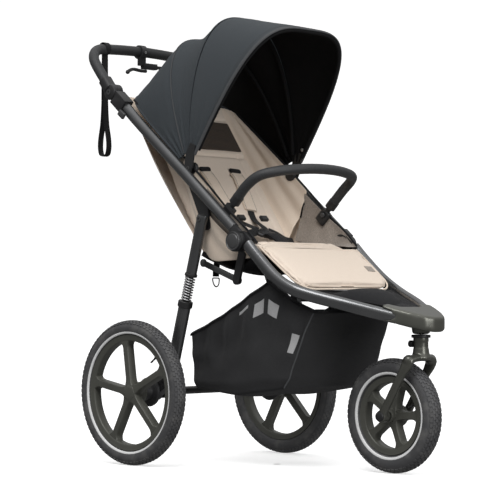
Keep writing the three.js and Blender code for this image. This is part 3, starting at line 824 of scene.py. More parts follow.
woundSpring = springTree("woundSpring", "steel")
legDown = Vector((0, *leg["direction"]))
for word, sign, suffix in sideWords:
    def legPoint(distance):
        return at(sign * leg["x"], *onLeg(distance))

    outer = smoothPath([legPoint(0), legPoint(leg["tubeEnd"])], 40)
    tubeMesh = sweepMesh(f"rearLeg{word}", outer, roundedEnds((13, 17), leg["tubeEnd"], 7), 32)
    stem = smoothPath([legPoint(leg["tubeEnd"] - 4), legPoint(leg["stemEnd"])], 6)
    stemMesh = sweepMesh("stem", stem, (9, 9), 24)
    newPiece(f"rearLeg{word}", tubeMesh, "frame", "rear_legs", f"rear_leg_{suffix}")
    newPiece(f"legStem{word}", stemMesh, "plastic", "rear_legs")
    ringProfile = [(9.2, -5), (16.5, -5), (17.5, -4), (17.5, 2), (16, 3), (9.2, 3)]
    newPiece(f"springSeat{word}", turnedMesh(f"springSeat{word}", ringProfile, legPoint(leg["tubeEnd"] - 1), legDown,
                                             40), "plastic", "rear_legs")
    spot = lineObject(f"legSpring{word}", [legPoint(leg["springStart"] + 1)])
    woundSpring.run(spot, Turns=float(leg["coils"]), Radius=leg["coilRadius"] / 1000, Wire=leg["wire"] / 1000,
                    Height=(leg["springEnd"] - leg["springStart"] - 3) / 1000)
    settle(spot, "rear_legs", f"suspension_spring_{suffix}")
    tuple(legPoint(leg["springStart"]))
    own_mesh(spot)
    sleeve = smoothPath([legPoint(leg["springEnd"] + 1), legPoint(leg["sleeveEnd"])], 50)
    newPiece(f"legSleeve{word}", sweepMesh(f"legSleeve{word}", sleeve,
                                           roundedEnds((15, 19), leg["sleeveEnd"] - leg["springEnd"], 5), 32),
             "frame", "axle")
    collarProfile = [(9.6, -6), (19, -6), (20.5, -4.5), (20.5, 10), (19.2, 11.5), (9.6, 11.5)]
    collar = turnedMesh(f"sleeveCollar{word}", collarProfile, legPoint(leg["springEnd"] + 7), legDown, 40)
    newPiece(f"sleeveCollar{word}", collar, "plastic", "axle")
    screws(f"legScrew{word}", [at(sign * (leg["x"] + 13.5), *onLeg(14))], (sign, 0.0, 0.0), "rear_legs", 0.0075,
           0.004, blackScrewHeads)
    drum = [(0.01, 9), (16, 9), (19, 7), (34, 5), (40, 2), (41, -4), (39, -9), (0.01, -9)]
    newPiece(f"brakeDrum{word}", turnedMesh(f"brakeDrum{word}", drum, at(sign * 246, 285, 200), (sign, 0, 0), 56),
             "plastic", "axle")

refined("rear_axle", "rearAxle", "plastic", "axle", 1.5)
refined("parking_brake_pedal", "brakePedal", "plastic", "brake_pedal", 2.2)


def gripTree(name, finish):
    # raised ribs, side by side across a surface
    tree = GeometryTree(name, {"Rib": (0.03, 0.002, 0.0016)})
    rib = tree.node("GeometryNodeMeshCube", inputs={"Size": tree.given("Rib")})
    points = tree.node("GeometryNodeMeshToPoints", inputs={0: tree.given("Geometry")})
    placed = tree.node("GeometryNodeInstanceOnPoints", inputs={0: points, "Instance": rib})
    tree.finish(placed, finishes[finish])
    return tree


gripRibs = gripTree("gripRibs", "plastic")
pedalRibs = lineObject("pedalRibs", [at(-178, 285 + 30 + 6 * k, 200 + 8.7 - 2.0 * k) for k in range(6)])
gripRibs.run(pedalRibs, Rib=(0.032, 0.0026, 0.0022))
settle(pedalRibs, "brake_pedal")
print("rear legs and axle made")


fork = {"swivel": -488, "axle": (-396, 151.5), "shoulder": (47, -483, 299),
        "arm": [(47, -486, 301), (49, -478, 284), (50, -456, 250), (50, -426, 200), (50, -397, 153)],
        "armWide": 8.5, "voxel": 0.0022, "relax": 4}


def armSize(share):
    # full at the shoulder, slim half way down, a little wider at the axle
    return fork["armWide"], 17 - 5.5 * smoothStep(0.02, 0.3, share) + 1.5 * smoothStep(0.8, 1, share)


newPiece("frontHub", castMesh("frontHub", [cadMesh("front_hub")], 0.003, 45), "hub", "lower_frame", "front_hub")
postProfile = [(0.01, 31), (19, 31), (20, 30), (20.3, 14), (19.3, 12), (19.3, -4), (20.5, -6), (22, -18), (27, -30),
               (24, -36), (0.01, -36)]
forkParts = [turnedMesh("post", postProfile, at(0, fork["swivel"], 334.6), (0, 0, 1), 48)]
shoulderX, shoulderY, shoulderZ = fork["shoulder"]
crownPath = smoothPath([at(-shoulderX, shoulderY, shoulderZ), at(-22, fork["swivel"], 305),
                        at(22, fork["swivel"], 305), at(shoulderX, shoulderY, shoulderZ)], 30)
forkParts.append(sweepMesh("crown", crownPath, (17, 10), 24, side=(0, 1, 0)))
ballProfile = [(0.01, 15)] + [(15 * math.sin(a), 15 * math.cos(a)) for a in [math.pi * k / 12 for k in range(1, 12)]]
for word, sign, suffix in sideWords:
    forkParts.append(turnedMesh("shoulder", [*ballProfile, (0.01, -15)],
                                at(sign * (shoulderX - 2), shoulderY - 1, shoulderZ), (sign, 0, 0), 24))
    armPath = smoothPath([at(sign * x, y, z) for x, y, z in fork["arm"]], 40)
    forkParts.append(sweepMesh("arm", armPath, armSize, 20, square=2.6))
    bossProfile = [(0.01, 7), (12, 7), (15.5, 5), (16.5, 2), (16.5, -13), (14, -22), (0.01, -22)]
    forkParts.append(turnedMesh("boss", bossProfile, at(sign * 51, *fork["axle"]), (sign, 0, 0), 32))
newPiece("frontFork", castMesh("frontFork", forkParts, fork["voxel"], fork["relax"]), "hub", "fork", "fork")
refined("swivel_lock_knob", "swivelLockKnob", "plastic", "swivel_lock", 1.5)
axleCapProfile = [(0.01, 5), (9, 5), (12, 3.5), (13.5, 0), (13.5, -2), (0.01, -2)]
for word, sign, suffix in sideWords:
    newPiece(f"forkCap{word}", turnedMesh(f"forkCap{word}", axleCapProfile, at(sign * 58, -396, 151.5), (sign, 0, 0)),
             "plastic", "fork")
postRing = [(20.4, -4), (24, -4), (25, -3), (25, 3), (24, 4), (20.4, 4)]
newPiece("postRing", turnedMesh("postRing", postRing, at(0, -488, 361), (0, 0, 1)), "plastic", "fork")
screws("hubScrews", [at(x, -500, 412) for x in (-14, 14)], (0.0, -0.29, 0.96), "lower_frame", 0.005, 0.002,
       blackScrewHeads)
print("front fork made")


rearWheel = {"radius": 200, "tyre": 22, "hubReach": 31, "phase": -8, "blocks": 88, "rows": 7, "bandAt": 166,
             "depth": 13}
frontWheel = {"radius": 151.5, "tyre": 26, "hubReach": 27, "phase": 16, "blocks": 66, "rows": 7, "bandAt": 112,
              "depth": 14}


def treadTree(name, finish):
    # tread blocks on every point, turned the way that the point's own attribute says
    tree = GeometryTree(name, {"Block": (0.006, 0.008, 0.002)})
    block = tree.node("GeometryNodeMeshCube", inputs={"Size": tree.given("Block")})
    out = tree.node("GeometryNodeInputNamedAttribute", {"data_type": "FLOAT_VECTOR"}, {"Name": "facing"})
    turn = tree.node("FunctionNodeAlignRotationToVector", {"axis": "Z"}, {"Vector": out})
    sideways = tree.node("FunctionNodeAlignRotationToVector", {"axis": "X", "pivot_axis": "Z"},
                         {"Rotation": turn, "Vector": (1.0, 0.0, 0.0)})
    placed = tree.node("GeometryNodeInstanceOnPoints", inputs={0: tree.given("Geometry"), "Instance": block,
                                                               "Rotation": sideways})
    tree.finish(placed, finishes[finish])
    return tree


treadBlocks = treadTree("treadBlocks", "tyre")


def spokeMesh(inner, outer, turn, centre, wheel, outboard):
    # a deep spoke, narrow in front, that flares into the hub star and into the rim
    rows = []
    for i in range(25):
        share = i / 24
        radius = mix(inner, outer, share)
        flareHub = max(1 - (radius - inner) / 34, 0) ** 2
        flareRim = max(1 - (outer - radius) / 22, 0) ** 2
        front = 8.5 + 10 * flareHub + 16 * flareRim
        back = 11.5 + 10 * flareHub + 16 * flareRim
        depthFront = wheel["depth"] - 0.5 + 3 * flareHub
        depthBack = -wheel["depth"] * 0.8
        row = []
        for width, depth in ((-back, depthBack), (-front - 1.2, depthFront - 2.2), (-front + 0.6, depthFront),
                             (-front * 0.45, depthFront + 0.2), (front * 0.45, depthFront + 0.2),
                             (front - 0.6, depthFront), (front + 1.2, depthFront - 2.2), (back, depthBack)):
            y = -math.sin(turn) * radius + math.cos(turn) * width
            z = math.cos(turn) * radius + math.sin(turn) * width
            row.append(centre + Vector((outboard * depth, y, z)) / 1000)
        rows.append(row)
    return gridMesh("spoke", rows, wrap=True, caps=True, angle=28)


def crownShare(c):
    return 1 - 0.085 * smoothStep(0.7, 1.0, c)


def wheelPieces(name, centre, wheel, outboard, body, node, bandSides):
    radius, minor = wheel["radius"], wheel["tyre"]
    middle = radius - minor
    tyreProfile = []
    for i in range(40):  # a round carcass, squared a little at the tread
        turn = 2 * math.pi * i / 40
        c, s = math.cos(turn), math.sin(turn)
        swell = crownShare(c) - 0.02 * smoothStep(0.8, 1.0, abs(s))
        groove = 0.6 * math.exp(-((math.degrees(turn) % 360 - 62) / 4) ** 2)
        groove += 0.6 * math.exp(-((360 - math.degrees(turn)) % 360 - 62) ** 2 / 16)
        tyreProfile.append((middle + (minor * swell - groove) * c, (minor * swell - groove) * s))
    tyre = turnedMesh(f"{name}Tyre", tyreProfile, centre, (outboard, 0, 0), 96, 60)
    newPiece(f"{name}Tyre", tyre, "tyre", body, f"{node}_tyre")

    spots, ways = [], []
    rows = wheel["rows"]
    for i in range(wheel["blocks"]):
        for k in range(rows):
            lean = math.radians(mix(-50, 50, k / (rows - 1)))
            spin = 2 * math.pi * (i + 0.5 * (k % 2)) / wheel["blocks"]
            out = minor * crownShare(math.cos(lean))
            r = middle + out * math.cos(lean)
            spots.append(centre + Vector((out * math.sin(lean), -math.sin(spin) * r, math.cos(spin) * r)) / 1000)
            ways += [math.sin(lean), -math.sin(spin) * math.cos(lean), math.cos(spin) * math.cos(lean)]
    spotMesh = bpy.data.meshes.new(f"{name}Tread")
    spotMesh.from_pydata([tuple(spot) for spot in spots], [], [])
    spotMesh.attributes.new("facing", "FLOAT_VECTOR", "POINT").data.foreach_set("vector", ways)
    tread = looseObject(f"{name}Tread", spotMesh)
    pitch = 2 * math.pi * radius / wheel["blocks"] / 1000
    treadBlocks.run(tread, Block=(0.0058, pitch * 0.6, 0.0034))
    settle(tread, body)

    for sign in bandSides:
        bandAt = wheel["bandAt"]
        lift = math.sqrt(max(minor ** 2 - (middle - bandAt) ** 2, 4))
        bandProfile = [(bandAt - 3.6, lift - 5.5), (bandAt - 3.6, lift - 0.9), (bandAt - 3.0, lift - 0.2),
                       (bandAt + 3.0, lift + 1.2), (bandAt + 3.6, lift + 0.8), (bandAt + 3.6, lift - 4)]
        band = turnedMesh(f"{name}Band", bandProfile, centre, (sign, 0, 0), 120, 60)
        newPiece(f"{name}Band" + ("Out" if sign == outboard else "In"), band, "band", body)

    outer = radius - 2 * minor - 0.4
    inner = outer - 13
    half = minor * 0.62
    rimProfile = [(inner, -half + 3), (inner + 1, -half + 1), (inner + 3, -half), (outer - 2, -half),
                  (outer + 3.5, -half - 1.5), (outer + 4.5, -half), (outer + 2, -half + 3), (outer - 0.2, -half + 5),
                  (outer - 0.2, half - 5), (outer + 2, half - 3), (outer + 4.5, half), (outer + 3.5, half + 1.5),
                  (outer - 2, half), (inner + 3, half), (inner + 1, half - 1), (inner, half - 3)]
    parts = [turnedMesh("rim", rimProfile, centre, (outboard, 0, 0), 96, 28)]
    for i in range(5):
        parts.append(spokeMesh(10, inner + 5, math.radians(wheel["phase"] + 72 * i), centre, wheel, outboard))
    reach = wheel["hubReach"]
    hubProfile = [(0.01, wheel["depth"] + 3), (14, wheel["depth"] + 3), (20, wheel["depth"] + 2),
                  (24, wheel["depth"] - 1), (26, 4), (26, -6), (29, -12), (29, -reach + 2), (27, -reach),
                  (0.01, -reach)]
    parts.append(turnedMesh("hub", hubProfile, centre, (outboard, 0, 0), 56, 30))
    if len(bandSides) == 2:
        frontHub = [(0.01, reach), (15, reach), (17, reach - 2), (18, 4), (0.01, 4)]
        parts.append(turnedMesh("hubEnd", frontHub, centre, (outboard, 0, 0), 40, 30))
    rim = joinMeshes(f"{name}Rim", parts)
    newPiece(f"{name}Rim", rim, "rim", body, f"{node}_rim")
    spin = math.radians(wheel["phase"] + 50)
    out = Vector((0, -math.sin(spin), math.cos(spin)))
    stemPath = [centre + out * (inner + 3) / 1000 + Vector((-outboard * 0.004, 0, 0)),
                centre + out * (inner - 12) / 1000 + Vector((-outboard * 0.005, 0, 0)),
                centre + out * (inner - 30) / 1000 + Vector((outboard * 0.001, 0, 0))]
    valve = sweepMesh(f"{name}Valve", smoothPath(stemPath, 14), lambda s: (3.4 if s < 0.55 else 2.6,) * 2, 16,
                      side=(1, 0, 0))
    newPiece(f"{name}Valve", valve, "plastic", body)


wheelPieces("rearWheelRight", at(-306, 285, 200), rearWheel, -1, "rear_wheel_right", "rear_wheel_right", (-1,))
wheelPieces("rearWheelLeft", at(306, 285, 200), rearWheel, 1, "rear_wheel_left", "rear_wheel_left", (1,))
wheelPieces("frontWheel", at(0, -396, 151.5), frontWheel, -1, "front_wheel", "front_wheel", (-1, 1))
print("wheels made")


handle = {"joint": (462, 1050), "angle": 51, "reach": 180, "halfWidth": 225, "radius": 15, "corner": 74, "lift": 8,
          "leverX": -5, "strapX": -150, "strapFoot": 875}


def onHandle(along):
    y, z = handle["joint"]
    turn = math.radians(handle["angle"])
    return y + math.cos(turn) * along, z + math.sin(turn) * along


def handlePath(steps):
    y0, z0 = onHandle(26)
    y1, z1 = onHandle(handle["reach"])
    reach = math.hypot(y1 - y0, z1 - z0)
    uy, uz = (y1 - y0) / reach, (z1 - z0) / reach
    width, corner = handle["halfWidth"], handle["corner"]
    half = [(-width, y0, z0)]
    for i in range(6):
        turn = i / 5 * math.pi / 2
        out = reach - corner + corner * math.sin(turn)
        half.append((-width + corner * (1 - math.cos(turn)), y0 + uy * out, z0 + uz * out))
    middle = (0, y1 + uy * handle["lift"], z1 + uz * handle["lift"])
    return smoothPath([at(*p) for p in [*half, middle, *[(-x, y, z) for x, y, z in reversed(half)]]], steps)


barPath = handlePath(150)
barMesh = sweepMesh("handleBar", barPath, (handle["radius"],) * 2, 32)
newPiece("handleBar", barMesh, "leather", "handle", "handle")
seamBelow = [point + (frameHigh * -0.0153) for point, across, frameHigh, tangent in pathFrames(barPath, (1, 0, 0))]
stitch("handleStitches", seamBelow[8:-8], darkStitches, "handle", 0.0052)
for word, sign, suffix in sideWords:
    ear = turnedMesh(f"handleEar{word}", [(0.01, 8.5), (17, 8.5), (21, 6.5), (23, 3), (23, -7.5), (0.01, -7.5)],
                     at(sign * 229.5, *handle["joint"]), (sign, 0, 0), 48, 30)
    newPiece(f"handleEar{word}", ear, "plastic", "handle")
    collarPath = smoothPath([at(sign * 225, *onHandle(8)), at(sign * 225, *onHandle(50))], 20)
    newPiece(f"handleSocket{word}", sweepMesh(f"handleSocket{word}", collarPath, roundedEnds((18, 18), 42, 4), 32,
                                              square=2.6), "plastic", "handle")
    screws(f"handleScrew{word}", [at(sign * 238, *handle["joint"])], (sign, 0.0, 0.0), "handle", 0.008, 0.003,
           blackScrewHeads)
refined("brake_lever_clamp", "leverClamp", "plastic", "handle", 1.2)
refined("brake_lever", "brakeLever", "plastic", "brake_lever", 0.6)
clampY, clampZ = onHandle(handle["reach"] + 6)
ferruleProfile = [(0.01, -8), (3.2, -8), (3.6, -4), (3.6, 8), (2.4, 9), (2.4, 12), (0.01, 12)]
ferruleAt = at(handle["leverX"] + 90, clampY - 4, clampZ - 41)
newPiece("cableFerrule", turnedMesh("cableFerrule", ferruleProfile, ferruleAt, (1, 0, 0), 24), "steel", "handle")
screws("clampScrew", [at(handle["leverX"], clampY - 21, clampZ - 2)], (0.0, -1.0, 0.0), "handle", 0.004, 0.003)


def ribbonMesh(name, path, width, thick, side, loop=False):
    return sweepMesh(name, path, (width / 2, thick / 2), 16, side=side, loop=loop, square=6)


topY, topZ = onHandle(handle["reach"] + 3)
ringPath = [at(handle["strapX"], topY + 17 * math.sin(a), topZ + 17 * math.cos(a))
            for a in [2 * math.pi * k / 40 for k in range(40)]]
foot = handle["strapFoot"]
drop = [(-2, topZ - 17), (-3, 1080), (-4, 1020), (-9, 965), (-17, 925), (-18, 898), (-12, foot + 5), (0, foot + 1),
        (12, foot + 5), (18, 898), (17, 925), (9, 965), (4, 1020), (3, 1080), (2, topZ - 17)]
dropPath = smoothPath([at(handle["strapX"], topY + y, z) for y, z in drop], 90)
strapSkin = joinMeshes("wristStrap", [ribbonMesh("ring", ringPath, 20, 2.4, (1, 0, 0), True),
                                      ribbonMesh("drop", dropPath, 20, 2.4, (1, 0, 0))])
newPiece("wristStrap", strapSkin, "webbing", "handle", "wrist_strap")
print("handle made")


bumper = {"half": [(-194, 0, 719), (-194, -46, 763), (-185, -84, 788), (-152, -118, 800), (-84, -143, 808)],
          "middle": (0, -152, 811), "radius": 14, "peg": 7.5}
bumperPoints = [*bumper["half"], bumper["middle"], *[(-x, y, z) for x, y, z in reversed(bumper["half"])]]
bumperPath = smoothPath([at(*point) for point in bumperPoints], 130)
newPiece("bumperBar", sweepMesh("bumperBar", bumperPath, (bumper["radius"],) * 2, 32), "leather", "bumper",
         "bumper_bar")
bumperSeam = [point - high * 0.0143 for point, across, high, tangent in pathFrames(bumperPath, (1, 0, 0))]
stitch("bumperStitches", bumperSeam[5:-5], darkStitches, "bumper", 0.0052)
for word, sign, suffix in sideWords:
    refined(f"bumper_mount_{suffix}", f"bumperMount{word}", "plastic", "upper_frame", 1.8)
    refined(f"bumper_button_{suffix}", f"bumperButton{word}", "cap", f"bumper_button_{suffix}", 1.0)
    endPath = smoothPath([at(sign * 194, 3, 716), at(sign * 194, -18, 736.5)], 12)
    newPiece(f"bumperEnd{word}", sweepMesh(f"bumperEnd{word}", endPath, roundedEnds((15.2, 15.2), 28, 2.5), 32),
             "plastic", "bumper")
    pegPath = smoothPath([at(sign * 194, 11, 708), at(sign * 194, -6, 723)], 8)
    newPiece(f"bumperPeg{word}", sweepMesh(f"bumperPeg{word}", pegPath, (bumper["peg"],) * 2, 24), "plastic",
             "bumper")
print("bumper made")


canopy = {
    "pivot": (157, 818), "halfWidth": 216, "fabric": 1.6, "start": 42,
    "front": {"angle": 56, "radius": 458, "roundness": 3.6},
    "middle": {"angle": 91, "radius": 437, "roundness": 2.4},
    "rear": {"angle": 112, "radius": 418, "roundness": 2.6},
    "edge": {"angle": 140.3, "radius": 356, "roundness": 6},
    "frontSag": 18, "middleSag": 26, "rearSag": 22, "rows": 18, "columns": 84,
}


def bowPoint(bow, turn, grow=0.0):
    across, out = math.cos(turn), math.sin(turn)
    x = -math.copysign(abs(across) ** (2 / bow["roundness"]), across) * (canopy["halfWidth"] + grow)
    radius = out ** (2 / bow["roundness"]) * (bow["radius"] + grow)
    angle = math.radians(bow["angle"])
    y, z = canopy["pivot"]
    return at(x, y - math.cos(angle) * radius, z + math.sin(angle) * radius)


def startTurn(bow, distance):
    return math.asin((distance / bow["radius"]) ** (bow["roundness"] / 2))


def bowPath(bow, distance, grow, steps=90):
    start = startTurn(bow, distance)
    return evenPath([bowPoint(bow, start + i / 240 * (math.pi - 2 * start), grow) for i in range(241)], steps)


def between(first, last, share, sag, cling=1.0):
    # the fabric's line between two bows: tight on the bows, sagging in the middle
    bow = {key: mix(first[key], last[key], share) for key in ("radius", "roundness")}
    bow["angle"] = mix(first["angle"], last["angle"], 0.02 + 0.96 * share)
    bow["radius"] -= sag * math.sin(math.pi * share) ** cling
    return bow


def panelMesh(name, first, last, sag, seed, creases):
    # one curved sheet with its outer face, its lining and its hems, creased near its lower corners
    rows, columns = canopy["rows"], canopy["columns"]
    layers = []
    for layer in (0.0, -canopy["fabric"]):
        grid = []
        for row in range(rows + 1):
            share = row / rows
            bow = between(first, last, share, sag)
            line = bowPath(bow, canopy["start"], layer, columns)
            wave = []
            for i, point in enumerate(line):
                side = abs(i / columns - 0.5) * 2  # 0 at the top, 1 at the pivots
                low = smoothStep(0.55, 1.0, side)
                inward = math.sin(math.pi * share)
                ripple = noise.noise(Vector((share * 5, side * 2.2, seed))) * 5.0 * inward * (0.35 + low)
                ripple += creases * low * inward * math.sin(share * 17 + side * 6 + seed) * 2.2
                y, z = canopy["pivot"]
                centre = at(point.x * 1000 * 0.7, y, z)
                wave.append(point + (centre - point).normalized() * ripple / 1000)
            grid.append(wave)
        layers.append(grid)
    points = [point for grid in layers for line in grid for point in line]
    stride, block = columns + 1, (rows + 1) * (columns + 1)
    faces, corners, kinds = [], [], []

    def index(layer, row, i):
        return layer * block + row * stride + i

    def add(ring, kind):
        faces.append(ring)
        kinds.append(kind)
        corners.extend(((v % block) % stride * 0.0118, (v % block) // stride * 0.0085) for v in ring)

    for row in range(rows):
        for i in range(columns):
            add((index(0, row, i), index(0, row, i + 1), index(0, row + 1, i + 1), index(0, row + 1, i)), 0)
            add((index(1, row, i), index(1, row + 1, i), index(1, row + 1, i + 1), index(1, row, i + 1)), 1)
        add((index(0, row, 0), index(0, row + 1, 0), index(1, row + 1, 0), index(1, row, 0)), 0)
        add((index(0, row, columns), index(1, row, columns), index(1, row + 1, columns),
             index(0, row + 1, columns)), 0)
    for i in range(columns):
        add((index(0, 0, i), index(1, 0, i), index(1, 0, i + 1), index(0, 0, i + 1)), 0)
        add((index(0, rows, i), index(0, rows, i + 1), index(1, rows, i + 1), index(1, rows, i)), 0)
    mesh = bpy.data.meshes.new(name)
    mesh.from_pydata([tuple(point) for point in points], [], faces)
    layer = mesh.uv_layers.new(name="UVMap")
    layer.data.foreach_set("uv", [part for corner in corners for part in corner])
    mesh.materials.append(finishes["canopy"])
    mesh.materials.append(finishes["lining"])
    mesh.polygons.foreach_set("material_index", kinds)
    shadeMesh(mesh, True, 60)
    return mesh


def blendPanel(obj, bodyA, bodyB, first, last):
    # works out a point on each of the two bows, then bakes the panel's placement into its mesh
    ends = []
    for bow in (first, last):
        angle = math.radians(bow["angle"])
        y, z = canopy["pivot"]
        ends.append(at(0, y - math.cos(angle) * 250, z + math.sin(angle) * 250))
    tuple(ends[0])
    tuple(ends[1])
    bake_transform(obj)


panels = (("canopyFrontPanel", "front", "middle", "frontSag", "canopy_front", "canopy_middle",
           "canopy_front_panel", 3),
          ("canopyMiddlePanel", "middle", "rear", "middleSag", "canopy_middle", "canopy_rear",
           "canopy_middle_panel", 7),
          ("canopyRearPanel", "rear", "edge", "rearSag", "canopy_rear", "upper_frame", "canopy_rear_panel", 12))
for name, first, last, sag, bodyA, bodyB, node, seed in panels:
    mesh = panelMesh(name, canopy[first], canopy[last], canopy[sag], seed, 1.0)
    panel = bpy.data.objects.new(name, mesh)
    bpy.context.collection.objects.link(panel)
    settle(panel, None, node)
    blendPanel(panel, bodyA, bodyB, canopy[first], canopy[last])
for bow, body in (("front", "canopy_front"), ("middle", "canopy_middle"), ("rear", "canopy_rear")):
    sleeve = sweepMesh(f"{bow}BowSleeve", bowPath(canopy[bow], 60, -7.5, 110), (5, 5), 16)
    newPiece(f"{bow}BowSleeve", sleeve, "lining", body, f"canopy_{bow}_bow")
rim = {**canopy["front"], "angle": canopy["front"]["angle"] + 0.3}
newPiece("canopyBinding", sweepMesh("canopyBinding", bowPath(rim, 44, -0.6, 170), (2.4, 5.0), 16, square=2.4),
         "binding", "canopy_front")
# the rear bow's piping takes the light grey binding as a painted highlight along its ridge; the middle bow's piping
# keeps the canopy's own colour
for name, bow, size, body in (("rearRidgePiping", "rear", 1.7, "canopy_rear"),
                              ("middleRidgePiping", "middle", 1.5, "canopy_middle")):
    piping = sweepMesh(name, bowPath(canopy[bow], 46, 0.9, 150), (size, size), 10)
    newPiece(name, piping, "binding" if bow == "rear" else "canopy", body)
rearHem = {**canopy["edge"], "angle": canopy["edge"]["angle"] - 0.5}
newPiece("canopyRearHem", sweepMesh("canopyRearHem", bowPath(rearHem, 46, -0.6, 130), (2.2, 3.4), 12), "canopy",
         "upper_frame")
for offset, tag in ((1.7, "A"), (2.5, "B")):
    seamBow = between(canopy["front"], canopy["middle"], offset / 35, canopy["frontSag"])
    stitch(f"rimStitches{tag}", bowPath(seamBow, 60, 0.2, 200), darkStitches, "canopy_front", 0.006,
           0.00045, 0.0036)
for word, sign, suffix in sideWords:
    refined(f"canopy_hinge_{suffix}", f"canopyHinge{word}", "plastic", "upper_frame", 1.5)
    y, z = canopy["pivot"]
    tab = [(y - 30, z + 62), (y - 8, z + 70), (y + 10, z + 40), (y + 16, z + 4), (y + 6, z - 14), (y - 10, z - 12),
           (y - 20, z + 8)]
    newPiece(f"canopyTab{word}", plateMesh(f"canopyTab{word}", tab, sign * 214, sign * 218.5, 1.6), "plastic",
             "upper_frame")
    screws(f"canopyScrew{word}", [at(sign * 218.5, y, z)], (sign, 0.0, 0.0), "upper_frame", 0.0055, 0.003,
           blackScrewHeads)
snap = [(0.01, 1.6), (3.5, 1.5), (5, 0.4), (5, -1), (0.01, -1)]
snapBow = between(canopy["front"], canopy["middle"], 0.3, canopy["frontSag"])
snapSpot = bowPath(snapBow, 80, -3.5, 40)[-1]
newPiece("canopySnap", turnedMesh("canopySnap", snap, snapSpot, (-1, 0, 0), 24), "steel", "canopy_front")
print("canopy made")


seat = {"voxel": 0.0055, "pressure": 4.0, "frames": 20, "cap": 9, "shrink": 3.5}


def puffed(name, mesh, finish, shrink=None, cap=None, voxel=None):
    # pads swell: a slightly smaller copy is remeshed and blown up by a cloth simulation
    shrink = seat["shrink"] if shrink is None else shrink
    cap = seat["cap"] if cap is None else cap
    tidy(mesh)
    obj = looseObject(name, mesh)
    remesh = obj.modifiers.new("remesh", "REMESH")
    remesh.mode = "VOXEL"
    remesh.voxel_size = voxel or seat["voxel"]
    applied(obj)
    moveAlongNormals(obj.data, -shrink / 1000)
    start = [vertex.co.copy() for vertex in obj.data.vertices]
    cloth = obj.modifiers.new("cloth", "CLOTH")
    cloth.settings.quality = 4
    cloth.settings.mass = 0.3
    cloth.settings.use_pressure = True
    cloth.settings.uniform_pressure_force = seat["pressure"]
    cloth.settings.tension_stiffness = 25
    cloth.settings.compression_stiffness = 25
    cloth.settings.bending_stiffness = 2
    cloth.settings.effector_weights.gravity = 0
    cloth.point_cache.frame_start = 1
    cloth.point_cache.frame_end = seat["frames"]
    for step in range(1, seat["frames"] + 1):
        bpy.context.scene.frame_set(step)
    bpy.context.view_layer.update()
    depsgraph = bpy.context.evaluated_depsgraph_get()
    moved = obj.evaluated_get(depsgraph).data
    places = [vertex.co.copy() for vertex in moved.vertices]
    obj.modifiers.clear()
    bpy.context.scene.frame_set(1)
    for vertex, first, last in zip(obj.data.vertices, start, places):
        shift = last - first
        limit = cap / 1000
        vertex.co = first + (shift * (limit / shift.length) if shift.length > limit else shift)
    smooth = obj.modifiers.new("smooth", "SUBSURF")
    smooth.levels = smooth.render_levels = 1
    applied(obj)
    obj.data.materials.clear()
    obj.data.materials.append(finishes[finish])
    shadeMesh(obj.data, True, 180)
    return obj


def moveAlongNormals(mesh, distance):
    normals = [vertex.normal.copy() for vertex in mesh.vertices]
    for vertex, normal in zip(mesh.vertices, normals):
        vertex.co += normal * distance


def pressed(obj, seams):
    # sewn channels: each seam is (distance function, depth, width) in mm
    normals = [vertex.normal.copy() for vertex in obj.data.vertices]
    for vertex, normal in zip(obj.data.vertices, normals):
        place = vertex.co * 1000
        place.y += originShift
        push = 0.0
        for distance, depth, width in seams:
            push += depth * math.exp(-(distance(place, normal) / width) ** 2)
        vertex.co -= normal * push / 1000
    obj.data.update()
    shadeMesh(obj.data, True, 180)


def boxedMesh(name, outline, halfWidths, steps=26):
    # a side-view outline across the seat, its half width a function of (y, z), with rounded sides
    rows = []
    for i in range(steps + 1):
        share = 2 * i / steps - 1
        bulge = math.sqrt(max(1 - abs(share) ** 10, 0.0))
        row = []
        cy = sum(y for y, z in outline) / len(outline)
        cz = sum(z for y, z in outline) / len(outline)
        for y, z in outline:
            inset = 1 - 0.02 * (1 - bulge)
            row.append(at(share * halfWidths(y, z), cy + (y - cy) * inset, cz + (z - cz) * inset))
        rows.append(row)
    return gridMesh(name, rows, wrap=True, caps=True)


def densify(outline, longest=12):
    points = []
    for a, b in zip(outline, outline[1:] + outline[:1]):
        parts = max(1, int(math.hypot(b[0] - a[0], b[1] - a[1]) / longest))
        points += [(mix(a[0], b[0], k / parts), mix(a[1], b[1], k / parts)) for k in range(parts)]
    return points


cushionOutline = densify([(-86, 600), (-60, 609), (20, 603), (95, 611), (112, 600), (104, 582), (0, 573), (-76, 582)])
cushion = puffed("seatCushion", boxedMesh("seatCushion", cushionOutline, lambda y, z: 171), "beige", 3, 8)
pressed(cushion, [
    (lambda p, n: p.y + 62 if n.z > 0.3 else 99, 4.5, 4),
    (lambda p, n: abs(p.x) - 118 if n.z > 0.3 and p.y > -60 else 99, 3.5, 5),
    (lambda p, n: p.y - 34 if n.z > 0.3 and abs(p.x) < 118 else 99, 3.0, 5),
])
settle(cushion, "upper_frame", "seat_cushion")
tuple(at(0, -20, 606))
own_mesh(cushion)

backInner = [(120, 622), (250, 815), (396, 1030)]
backOutline = densify([(118, 618), (160, 682), (206, 748), (252, 815), (326, 924), (398, 1030), (414, 1042),
                       (430, 1034), (372, 930), (318, 842), (268, 756), (224, 690), (172, 622), (150, 600),
                       (130, 590), (118, 598)])
backMesh = boxedMesh("seatBackPad", backOutline, lambda y, z: mix(168, 160, smoothStep(600, 1040, z)))
back = puffed("seatBackPad", backMesh, "beige", 3, 9)


def backFace(n):
    return n.y < -0.2 and n.z > -0.2


